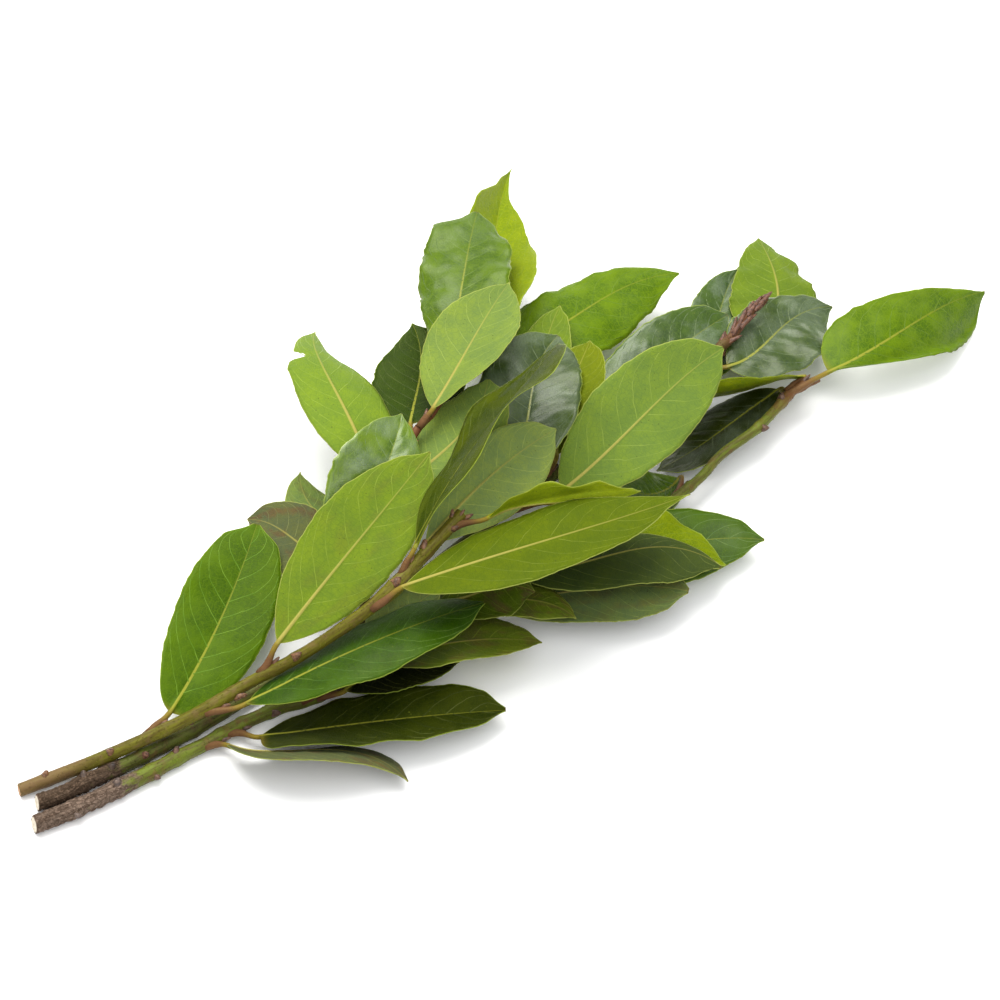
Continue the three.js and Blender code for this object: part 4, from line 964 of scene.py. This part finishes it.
# stems: bark = millimetres of brown bark from the cut end, red = where the reddish young end begins,
# redFoot = how far the cut end is reddened, rough = height of the bark's plates, knots = swelling under
# petioles and buds, cut = wood of the cut end, slant = how far the cut leans
stemLooks = {
    "a": {"skin": (0.12, 0.115, 0.009), "shade": (0.07, 0.055, 0.007), "blush": (0.16, 0.09, 0.045),
          "old": (0.1, 0.07, 0.05), "bud": (0.2, 0.095, 0.045), "bark": 0, "red": 400, "redFoot": 30,
          "rough": 0.09, "knots": 0.3, "cut": "tanWood", "slant": 0.16, "node": "a_stem",
          "slot": "stem_olive"},
    "b": {"skin": (0.075, 0.092, 0.013), "shade": (0.04, 0.036, 0.01), "blush": (0.11, 0.04, 0.022),
          "old": (0.085, 0.055, 0.038), "bud": (0.155, 0.066, 0.036), "bark": 27, "red": 292, "redFoot": 0,
          "rough": 0.33, "knots": 0.75, "cut": "whiteWood", "slant": 0.27, "node": "b_stem",
          "slot": "stem_dark"},
    "c": {"skin": (0.11, 0.145, 0.015), "shade": (0.07, 0.066, 0.014), "blush": (0.13, 0.045, 0.022),
          "old": (0.15, 0.105, 0.08), "bud": (0.12, 0.062, 0.036), "bark": 33, "red": 302, "redFoot": 0,
          "rough": 0.33, "knots": 0.75, "cut": "whiteWood", "slant": 0.27, "node": "c_stem",
          "slot": "stem_grey"},
    "shoot": {"skin": (0.075, 0.075, 0.016), "shade": (0.05, 0.03, 0.012), "blush": (0.14, 0.045, 0.022),
              "old": (0.1, 0.07, 0.05), "bud": (0.16, 0.07, 0.038), "bark": 0, "red": 40, "redFoot": 0,
              "rough": 0.09, "knots": 0.3, "cut": None, "slant": 0, "node": "b_stem", "slot": "stem_dark"},
}
stemShape = {
    "sides": 22, "slim": 0.96, "spacing": 0.45, "barkShare": 1.1, "skinLow": 0.07, "pores": 450000.0,
    "poreSize": 0.00028, "poreLeast": (0.5, 0.8, 0.22), "poreMost": (0.9, 1.9, 0.5), "poreFloor": 0.0008,
    "knotHigh": 0.5, "knotMost": 0.45, "leafKnot": 1.6, "budKnot": 1.8, "barkFade": (9, 12),
    "redFoot": (0.4, 0.7), "redYoung": (12, 4, 0.85), "ridge": (1.1, 3.0), "ridgeHigh": (4.0, -2.0),
    "ridgeStretch": (0.16, 0.55, 0.55), "plate": 0.9, "plateStretch": (0.5, 0.85, 0.85),
    "plateEdge": (0.0, 0.2, 0.35, -1.0), "rough": (0.9, 4.0), "roughHigh": (2.4, -1.2), "low": 0.00003,
}

# buds and knots of each stem, then the slim young buds crowded at its growing tip: millimetres along it,
# degrees round it from the top, degrees of lean towards the tip, length and width in millimetres
knobs = {
    "a": [(9, -20, 35, 2.4, 1.2), (31, 10, 35, 2.6, 1.3), (74, 100, 65, 4.5, 1.3), (97, 20, 60, 4, 1.4),
          (137, 10, 60, 3.2, 1.6), (152, -40, 55, 3.6, 1.4)],
    "b": [(17, -30, 20, 2.2, 1.4), (26, 5, 30, 2.6, 1.5), (37, 35, 30, 2.2, 1.4), (55, -20, 30, 2, 1.2),
          (282, 60, 50, 3, 1.2), (291, -70, 60, 3.4, 1.2)],
    "c": [(14, 80, 10, 1.8, 1.4), (29, -10, 25, 2.4, 1.6), (41, 85, 20, 2.2, 1.3),
          (50, -25, 35, 2.6, 1.3), (84, 60, 50, 3.4, 1.3), (118, -60, 40, 2.2, 1.1),
          (286, 80, 35, 2.8, 1.4), (300, -30, 50, 2.6, 1.4)],
}
youngBuds = {
    "b": [(289, -50, 62, 5.0, 1.1), (291, 60, 66, 6.0, 1.2), (294, 10, 68, 6.5, 1.2),
          (296, -75, 70, 6.5, 1.1), (298, 45, 74, 7.0, 1.2), (300, -25, 76, 7.0, 1.2),
          (302, 95, 74, 6.0, 1.0), (304, 15, 80, 6.5, 1.2), (305, 180, 78, 5.5, 1.1),
          (306, -60, 82, 5.5, 1.1), (308, 60, 78, 5.0, 1.2), (309, -20, 80, 5.2, 1.2),
          (310, 140, 80, 5.0, 1.2), (311, 30, 84, 4.6, 1.2), (312, -90, 82, 4.4, 1.1),
          (314, 0, 86, 4.2, 1.2)],
    "a": [(163, 60, 40, 3.2, 1.2), (166, -50, 50, 3.4, 1.2), (168, 20, 62, 3.0, 1.0)],
    "c": [(306, 60, 60, 4.2, 1.2), (311, -30, 66, 4.4, 1.2), (315, 30, 78, 4.0, 1.1)],
    "shoot": [(60, 80, 60, 3.6, 1.0), (72, -70, 62, 3.4, 1.0), (98, 40, 66, 4.0, 1.0),
              (108, -40, 70, 4.5, 1.0)],
}
# sink = share of the stem's radius at which a bud's foot stands, fat = its girth for its width
budShape = {
    "knobSink": 0.6, "knobFat": 2.2, "knobLong": 0.8, "knobFoot": 0.35, "youngSink": 0.5, "youngFat": 1.75,
    "axilBack": -1.0, "axilSink": 0.8, "axilOut": 0.4, "axilAhead": 0.9, "axilSize": (2.0, 2.0, 3.2),
    "scales": 7, "spread": 0.34, "turn": 2.39996, "gather": 0.75, "climb": (0.55, 0.22), "lean": -0.42,
    "scaleSize": (0.15, 0.3, 0.4), "coreAt": (0, 0, 0.38), "coreSize": (0.38, 0.38, 0.52), "barky": 4,
}

barkFinish = {
    "specular": 0.22, "tint": (0.9, 0.85, 0.5, 1), "streak": 0.9, "streakEdge": (0.36, 0.64),
    "blotch": (0.5, 0.7, 0.35), "pores": 0.35, "poreTone": (0.16, 0.12, 0.05), "scurfTone": (1.9, 1.9, 1.9),
    "oldTone": (0.45, 0.4, 0.38), "scurf": (0.5, 0.6, 0.5), "cracks": 0.4, "crackTone": (0.022, 0.014, 0.01),
    "ragged": (1.3, 0.9, 1.1), "barkEdge": (0.3, 0.75), "rough": (0.35, 0.45), "high": (0.8, -1.2),
    "bump": (0.6, 0.0002),
}

def makeStemMaterial():
    look = barkFinish
    material, tree, shader = startMaterial("stemSkin", Specular_IOR_Level=look["specular"],
                                           Specular_Tint=look["tint"])
    calc, mix, step, read = toolsFor(tree, reckon, mixColour, stepUp, readAttribute)
    skinTone, shadeTone, blushTone, barkTone = (
        read(name, "Color") for name in ("tone", "shadeTone", "blushTone", "barkTone"))
    skin = useGroup(tree, barkSkin, Place=read("flat", "Vector"), Streak=look["streak"])
    streak = step(skin["Streaks"], *look["streakEdge"])
    base = mix(streak, skinTone, shadeTone)
    base = mix(step(skin["Blotches"], *look["blotch"]), base, blushTone)
    base = mix(read("blush"), base, blushTone)
    base = mix(calc("MULTIPLY", skin["Pores"], look["pores"]), base, look["poreTone"])
    # the old bark is grey-brown with dark cracks and pale scurf
    old = mix(streak, barkTone, multiplyColour(tree, barkTone, look["oldTone"]))
    old = mix(step(skin["Scurf"], *look["scurf"]), old, multiplyColour(tree, barkTone, look["scurfTone"]))
    old = mix(calc("MULTIPLY", skin["Cracks"], look["cracks"]), old, look["crackTone"])
    byBlotch, byStreak, back = look["ragged"]
    ragged = calc("ADD", calc("MULTIPLY", skin["Blotches"], byBlotch),
                  calc("MULTIPLY", skin["Streaks"], byStreak))
    isBark = step(calc("ADD", read("bark"), calc("SUBTRACT", ragged, back)), *look["barkEdge"])
    linkAll(tree, shader.inputs, Base_Color=mix(isBark, base, old),
            Roughness=calc("MULTIPLY_ADD", isBark, *look["rough"]))
    byStreak, byCrack = look["high"]
    high = calc("MULTIPLY_ADD", calc("MULTIPLY", skin["Cracks"], isBark), byCrack,
                calc("MULTIPLY", skin["Streaks"], byStreak))
    addBump(tree, shader, high, *look["bump"])
    return material

budFinish = {"specular": 0.4, "cloud": (900.0, 4.0), "edge": (0.35, 0.65), "shade": (0.4, 0.4, 0.45),
             "rough": (0.2, 0.4), "bump": (0.4, 0.0001)}

def makeBudMaterial():
    look = budFinish
    material, tree, shader = startMaterial("budScale", Specular_IOR_Level=look["specular"])
    tone = readAttribute(tree, "tone", "Color")
    cloud = clouds(tree, addNode(tree, "ShaderNodeTexCoord").outputs["Object"], *look["cloud"])
    shade = multiplyColour(tree, tone, look["shade"])
    linkAll(tree, shader.inputs, Base_Color=mixColour(tree, stepUp(tree, cloud, *look["edge"]), tone, shade),
            Roughness=reckon(tree, "MULTIPLY_ADD", cloud, *look["rough"]))
    addBump(tree, shader, cloud, *look["bump"])
    return material

woodTones = {
    "whiteWood": {"pale": (0.78, 0.72, 0.6), "dark": (0.52, 0.42, 0.28), "rim": (0.11, 0.07, 0.045)},
    "tanWood": {"pale": (0.6, 0.36, 0.2), "dark": (0.36, 0.17, 0.08), "rim": (0.13, 0.09, 0.03)},
}
woodFinish = {"specular": 0.25, "rough": 0.8, "rings": 3.2, "ringDetail": 2.0, "ringEdge": (0.4, 0.6, 0.5),
              "fibre": (2.6, 4.0), "fibreEdge": (0.5, 0.68, 0.6), "rimEdge": (0.83, 0.94),
              "pith": (0.1, 0.2, 0.5), "bump": (0.5, 0.00015)}

def makeWoodMaterial(name, tones):
    look = woodFinish
    material, tree, shader = startMaterial(name, Specular_IOR_Level=look["specular"],
                                           Roughness=look["rough"])
    mix, step = toolsFor(tree, mixColour, stepUp)
    flat = readAttribute(tree, "flat", "Vector")
    out, share, _ = splitVector(tree, flat)
    rings = addNode(tree, "ShaderNodeTexNoise", {"noise_dimensions": "1D"}, Scale=1.0,
                    Detail=look["ringDetail"], W=reckon(tree, "MULTIPLY", out, look["rings"]))
    fibre = clouds(tree, flat, *look["fibre"])
    tone = mix(step(pick(rings.outputs, "Fac"), *look["ringEdge"]), tones["pale"], tones["dark"])
    tone = mix(step(fibre, *look["fibreEdge"]), tone, tones["dark"])
    tone = mix(step(share, *look["rimEdge"]), tone, tones["rim"])
    tone = mix(stepDown(tree, share, *look["pith"]), tone, tones["dark"])
    linkAll(tree, shader.inputs, Base_Color=tone)
    addBump(tree, shader, fibre, *look["bump"])
    return material

stemMaterial = makeStemMaterial()
budMaterial = makeBudMaterial()
woods = {name: makeWoodMaterial(name, tones) for name, tones in woodTones.items()}
print("stem materials made")

def finishShape(tree, shape, material):
    # anything under the table is pressed flat on it
    x, y, z = splitPosition(tree)
    place = joinVector(tree, x, y, reckon(tree, "MAXIMUM", z, stemShape["low"]))
    shape = addShape(tree, "GeometryNodeSetPosition", Geometry=shape, Position=place)
    shape = addShape(tree, "GeometryNodeSetShadeSmooth", Geometry=shape, Shade_Smooth=True)
    return addShape(tree, "GeometryNodeSetMaterial", Geometry=shape, Material=material)

def makeStemTree():
    # skin round a centre line that carries its own thickness, with bark and cork pores
    tree, given, put = newTree("GeometryNodeTree", "stemRound", {
        "Line": "Geometry", "Sides": "Int", "Bark Low": "Float", "Skin Low": "Float", "Pores": "Float",
        "Pore Size": "Float", "Seed": "Int", "Material": "Material"}, {"Stem": "Geometry"})
    calc, shape, read, store, cloud = toolsFor(tree, reckon, addShape, readNamed, storeNamed, clouds)
    look = stemShape
    ring = shape("GeometryNodeCurvePrimitiveCircle", Resolution=given["Sides"], Radius=1.0)
    ring = store(ring, "around", "FLOAT", shape("GeometryNodeSplineParameter"))
    skin = shape("GeometryNodeCurveToMesh", Curve=shape("GeometryNodeMeshToCurve", Mesh=given["Line"]),
                 Profile_Curve=ring, Scale=read("thick"), Fill_Caps=True)
    turn = calc("MULTIPLY", read("around"), 2 * math.pi)
    girth = calc("MULTIPLY", read("thick"), 1 / mm)
    flat = joinVector(tree, read("along"), calc("MULTIPLY", calc("SINE", turn), girth),
                      calc("MULTIPLY", calc("COSINE", turn), girth))
    skin = store(skin, "flat", "FLOAT_VECTOR", flat)
    # bark stands up in plates, green skin has long low ridges
    flat = read("flat", "FLOAT_VECTOR")
    ridge = cloud(stretch(tree, flat, look["ridgeStretch"]), *look["ridge"])
    plate = cells(tree, stretch(tree, flat, look["plateStretch"]), look["plate"])
    rough = calc("MULTIPLY_ADD", cloud(flat, *look["rough"]), *look["roughHigh"])
    plate = stepUp(tree, plate, *look["plateEdge"])
    barkLift = calc("MULTIPLY", calc("ADD", plate, rough), given["Bark Low"])
    ridgeLift = calc("MULTIPLY", calc("MULTIPLY_ADD", ridge, *look["ridgeHigh"]), given["Skin Low"])
    lift = calc("MULTIPLY", calc("ADD", calc("MULTIPLY", barkLift, read("bark")), ridgeLift), mm)
    push = shape("ShaderNodeVectorMath", {"operation": "SCALE"}, Vector=shape("GeometryNodeInputNormal"),
                 Scale=lift)
    skin = shape("GeometryNodeSetPosition", Geometry=skin, Offset=push)
    # cork pores, none of them on the strip that lies on the table
    dots = addNode(tree, "GeometryNodeDistributePointsOnFaces", {"distribute_method": "RANDOM"}, Mesh=skin,
                   Selection=calc("GREATER_THAN", splitPosition(tree)[2], look["poreFloor"]),
                   Density=given["Pores"], Seed=given["Seed"]).outputs
    size = addNode(tree, "FunctionNodeRandomValue", {"data_type": "FLOAT_VECTOR"}, Min=look["poreLeast"],
                   Max=look["poreMost"], Seed=given["Seed"])
    pores = shape("GeometryNodeInstanceOnPoints", Points=dots["Points"], Rotation=dots["Rotation"],
                  Instance=shape("GeometryNodeMeshIcoSphere", Radius=given["Pore Size"], Subdivisions=1),
                  Scale=pick(size.outputs, "Value"))
    linkIn(tree, put["Stem"], finishShape(tree, joinShapes(tree, skin, pores), given["Material"]))
    return tree

def makeBudTree():
    # a bud of overlapping scales in a spiral round a core, on each point of a little mesh
    tree, given, put = newTree("GeometryNodeTree", "budScales", {
        "Places": "Geometry", "Scales": "Int", "Spread": "Float", "Material": "Material"},
        {"Buds": "Geometry"})
    calc, shape, join, read = toolsFor(tree, reckon, addShape, joinVector, readNamed)
    look = budShape
    index = shape("GeometryNodeInputIndex")
    share = calc("DIVIDE", index, given["Scales"])
    turn = calc("MULTIPLY", index, look["turn"])
    reach = calc("MULTIPLY", calc("SUBTRACT", 1.0, calc("MULTIPLY", share, look["gather"])), given["Spread"])
    spot = join(calc("MULTIPLY", calc("COSINE", turn), reach), calc("MULTIPLY", calc("SINE", turn), reach),
                calc("MULTIPLY_ADD", share, *look["climb"]))
    dots = shape("GeometryNodePoints", Count=given["Scales"], Position=spot)
    scales = shape("GeometryNodeInstanceOnPoints", Points=dots,
                   Instance=shape("GeometryNodeMeshIcoSphere", Radius=1.0, Subdivisions=2),
                   Rotation=shape("FunctionNodeEulerToRotation", Euler=join(0.0, look["lean"], turn)),
                   Scale=look["scaleSize"])
    core = shape("GeometryNodeMeshIcoSphere", Radius=1.0, Subdivisions=3)
    core = shape("GeometryNodeTransform", Geometry=core, Translation=look["coreAt"], Scale=look["coreSize"])
    aim = shape("FunctionNodeAlignRotationToVector", {"axis": "Z"}, Vector=read("aim", "FLOAT_VECTOR"))
    buds = shape("GeometryNodeInstanceOnPoints", Points=given["Places"], Rotation=aim,
                 Instance=joinShapes(tree, scales, core), Scale=read("size", "FLOAT_VECTOR"))
    buds = shape("GeometryNodeRealizeInstances", Geometry=buds)
    linkIn(tree, put["Buds"], finishShape(tree, buds, given["Material"]))
    return tree

def stemSides(key, at):
    point, ahead, radius = stemAt(stems[key], at)
    side = ahead.cross(Vector((0, 0, 1))).normalized()
    return point, ahead, side, side.cross(ahead), radius

def leavesOn(key):
    return [leaf for leaf in leafTable if leaf["on"] == key]

def makeStemLine(key):
    # a line of points about half a millimetre apart, with the thickness and tones at each
    stem, look, shape = stems[key], stemLooks[key], stemShape
    keep = [0]
    for i in range(1, len(stem["along"])):
        if stem["along"][i] - stem["along"][keep[-1]] > shape["spacing"] or i == len(stem["along"]) - 1:
            keep.append(i)
    points, along, radius = stem["points"][keep], stem["along"][keep], stem["radius"][keep]
    count = len(keep)
    mesh = newMesh(key + "_line", points * mm, [(i, i + 1) for i in range(count - 1)], [])
    # knots where petioles and buds stand
    knots = [(leaf["at"], shape["leafKnot"]) for leaf in leavesOn(key)]
    knots += [(knob[0], shape["budKnot"]) for knob in knobs.get(key, [])]
    swell = np.zeros(count)
    for at, half in knots:
        swell += look["knots"] * shape["knotHigh"] * np.exp(-((along - at) / half) ** 2)
    # brown bark, a reddened cut end and the reddish young end
    before, after = shape["barkFade"]
    bark = np.zeros(count)
    if look["bark"]:
        bark = 1 - smooth(along, look["bark"] - before, look["bark"] + after)
    start, strength = shape["redFoot"]
    foot = (1 - smooth(along, look["redFoot"] * start, look["redFoot"])) * strength if look["redFoot"] else 0
    before, after, strength = shape["redYoung"]
    young = smooth(along, look["red"] - before, look["red"] + after) * strength
    thick = radius * shape["slim"] + np.minimum(swell, shape["knotMost"])
    giveAttribute(mesh, "thick", "FLOAT", thick * mm)
    giveAttribute(mesh, "bark", "FLOAT", bark)
    giveAttribute(mesh, "blush", "FLOAT", np.maximum(young, foot))
    giveAttribute(mesh, "along", "FLOAT", along)
    tones = {"skin": "tone", "shade": "shadeTone", "blush": "blushTone", "old": "barkTone"}
    for name, title in tones.items():
        giveAttribute(mesh, title, "FLOAT_COLOR", np.tile([*look[name], 1], (count, 1)))
    return newPiece(mesh)

def budAt(key, at, turn, lean, sink):
    # foot and aim of a bud, and the stem's radius there
    point, ahead, side, up, radius = stemSides(key, at)
    turn, lean = math.radians(turn), math.radians(lean)
    out = up * math.cos(turn) + side * math.sin(turn)
    return point + out * radius * sink, out * math.cos(lean) + ahead * math.sin(lean), radius

def makeBudPlaces(key):
    # points that carry each bud's aim, size and tone
    look, shape, buds = stemLooks[key], budShape, []
    for at, turn, lean, long, wide in knobs.get(key, []):
        spot, aim, radius = budAt(key, at, turn, lean, shape["knobSink"])
        fat, long = wide * shape["knobFat"], (long + radius * shape["knobFoot"]) * shape["knobLong"]
        old = at < look["bark"] + shape["barky"]
        buds.append((spot, aim, (fat, fat, long), look["old" if old else "bud"]))
    # a small bud sits in the axil of every leaf
    for leaf in leavesOn(key):
        point, ahead, radius = stemAt(stems[key], leaf["at"] + shape["axilBack"])
        reach = Vector(leaf["base"]) - point
        out = (reach - ahead * reach.dot(ahead)).normalized()
        aim = out * shape["axilOut"] + ahead * shape["axilAhead"]
        buds.append((point + out * radius * shape["axilSink"], aim, shape["axilSize"], look["bud"]))
    for at, turn, lean, long, wide in youngBuds.get(key, []):
        spot, aim, radius = budAt(key, at, turn, lean, shape["youngSink"])
        fat = wide * shape["youngFat"]
        buds.append((spot, aim, (fat, fat, long), look["bud"]))
    mesh = newMesh(key + "_buds", [spot * mm for spot, aim, size, tone in buds], [], [])
    giveAttribute(mesh, "aim", "FLOAT_VECTOR", [tuple(aim) for spot, aim, size, tone in buds])
    giveAttribute(mesh, "size", "FLOAT_VECTOR", [[v * mm for v in size] for spot, aim, size, tone in buds])
    giveAttribute(mesh, "tone", "FLOAT_COLOR", [(*tone, 1) for spot, aim, size, tone in buds])
    return newPiece(mesh)

# cut faces in millimetres, reach as a share of the stem's radius; uneven and rough = noise of the outline
# and of the face: height, grain and seed
cutShape = {
    "rings": 9, "steps": 30, "reach": 0.9, "sink": -0.22, "uneven": (0.03, 2, 1.3), "rough": (0.1, 3, 4.1),
    "rim": 0.3, "back": 0.4, "flatTurn": 1.2, "slantReach": 7, "slantNear": 9, "low": 0.03,
}

def makeCutFace(key, material, tip=False):
    # a sawn end: rings and a low rim, standing a hair proud of the stem
    point, ahead, side, up, radius = stemSides(key, stems[key]["along"][-1] if tip else 0)
    if tip:
        ahead, side = -ahead, -side
    shape = cutShape
    rings, steps = shape["rings"], shape["steps"]
    spots, flat, faces = [point + ahead * shape["sink"]], [(0, 0, 0)], []
    for i in range(1, rings + 1):
        share = i / rings
        for k in range(steps):
            turn = 2 * math.pi * k / steps
            x, y = math.cos(turn), math.sin(turn)
            high, fine, apart = shape["uneven"]
            outline = 1 + high * hills(x * fine, y * fine, ord(key[0]) * apart)
            spread = radius * shape["reach"] * share * outline
            high, fine, seed = shape["rough"]
            depth = shape["sink"] + high * hills(x * share * fine, y * share * fine, seed)
            depth += shape["rim"] if i == rings else 0
            spots.append(point + side * spread * x + up * spread * y + ahead * depth)
            flat.append((spread, share, turn * shape["flatTurn"]))
    spots.append(point + ahead * shape["back"])
    flat.append((0, 0, 0))
    for k in range(steps):
        a, b = 1 + k, 1 + (k + 1) % steps
        faces.append((0, a, b))
        for _ in range(rings - 1):
            faces.append((a, a + steps, b + steps, b))
            a, b = a + steps, b + steps
        faces.append((a, len(spots) - 1, b))
    mesh = newMesh(key + ("_tip_cut" if tip else "_cut"),
                   [Vector((p.x, p.y, max(p.z, shape["low"]))) * mm for p in spots], [], faces)
    giveAttribute(mesh, "flat", "FLOAT_VECTOR", flat)
    mesh.polygons.foreach_set("use_smooth", [True] * len(faces))
    turnOut(mesh)
    if not tip:
        slantCut(mesh, key)
    return newPiece(mesh, material)

def slantCut(mesh, key):
    # leans the first few millimetres of a stem back, as a slanting cut does
    point, ahead, _, up, radius = stemSides(key, 0)
    reach = cutShape["slantReach"]
    for vertex in mesh.vertices:
        offset = vertex.co / mm - point
        along = offset.dot(ahead)
        if along < reach and offset.length < cutShape["slantNear"]:
            high = max(offset.dot(up) + radius, 0)
            vertex.co += ahead * high * stemLooks[key]["slant"] * min(1, 1 - along / reach) * mm

def turnOut(mesh):
    shape = bmesh.new()
    shape.from_mesh(mesh)
    bmesh.ops.recalc_face_normals(shape, faces=shape.faces)
    shape.to_mesh(mesh)
    shape.free()

def makeStems():
    stemTree, budTree = makeStemTree(), makeBudTree()
    for number, (key, look) in enumerate(stemLooks.items()):
        skin = makeStemLine(key)
        runTree(skin, stemTree, {
            "Sides": stemShape["sides"], "Bark Low": look["rough"] * stemShape["barkShare"],
            "Skin Low": stemShape["skinLow"], "Pores": stemShape["pores"],
            "Pore Size": stemShape["poreSize"], "Seed": number + 5, "Material": stemMaterial})
        skin.name = key + "_stem_skin"
        if look["slant"]:
            slantCut(skin.data, key)
        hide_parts(look["node"])
        buds = makeBudPlaces(key)
        runTree(buds, budTree, {
            "Scales": budShape["scales"], "Spread": budShape["spread"], "Material": budMaterial})
        buds.name = key + "_bud_scales"
        pieces = [skin, buds]
        if look["cut"]:
            pieces.append(makeCutFace(key, woods[look["cut"]]))
        if key == "a":
            pieces.append(makeCutFace(key, woods["tanWood"], tip=True))
        for piece in pieces:
            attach(piece, "root")
    print("stems made")

makeStems()

tableLook = {"half": 3, "tone": (0.97, 0.97, 0.97, 1), "rough": 0.75, "specular": 0.2}

def makeTable():
    half = tableLook["half"]
    corners = [(-half, -half, 0), (half, -half, 0), (half, half, 0), (-half, half, 0)]
    mesh = newMesh("table", corners, [], [(0, 1, 2, 3)])
    material = startMaterial("paleTable", Base_Color=tableLook["tone"], Roughness=tableLook["rough"],
                             Specular_IOR_Level=tableLook["specular"])[0]
    newPiece(mesh, material)

makeTable()
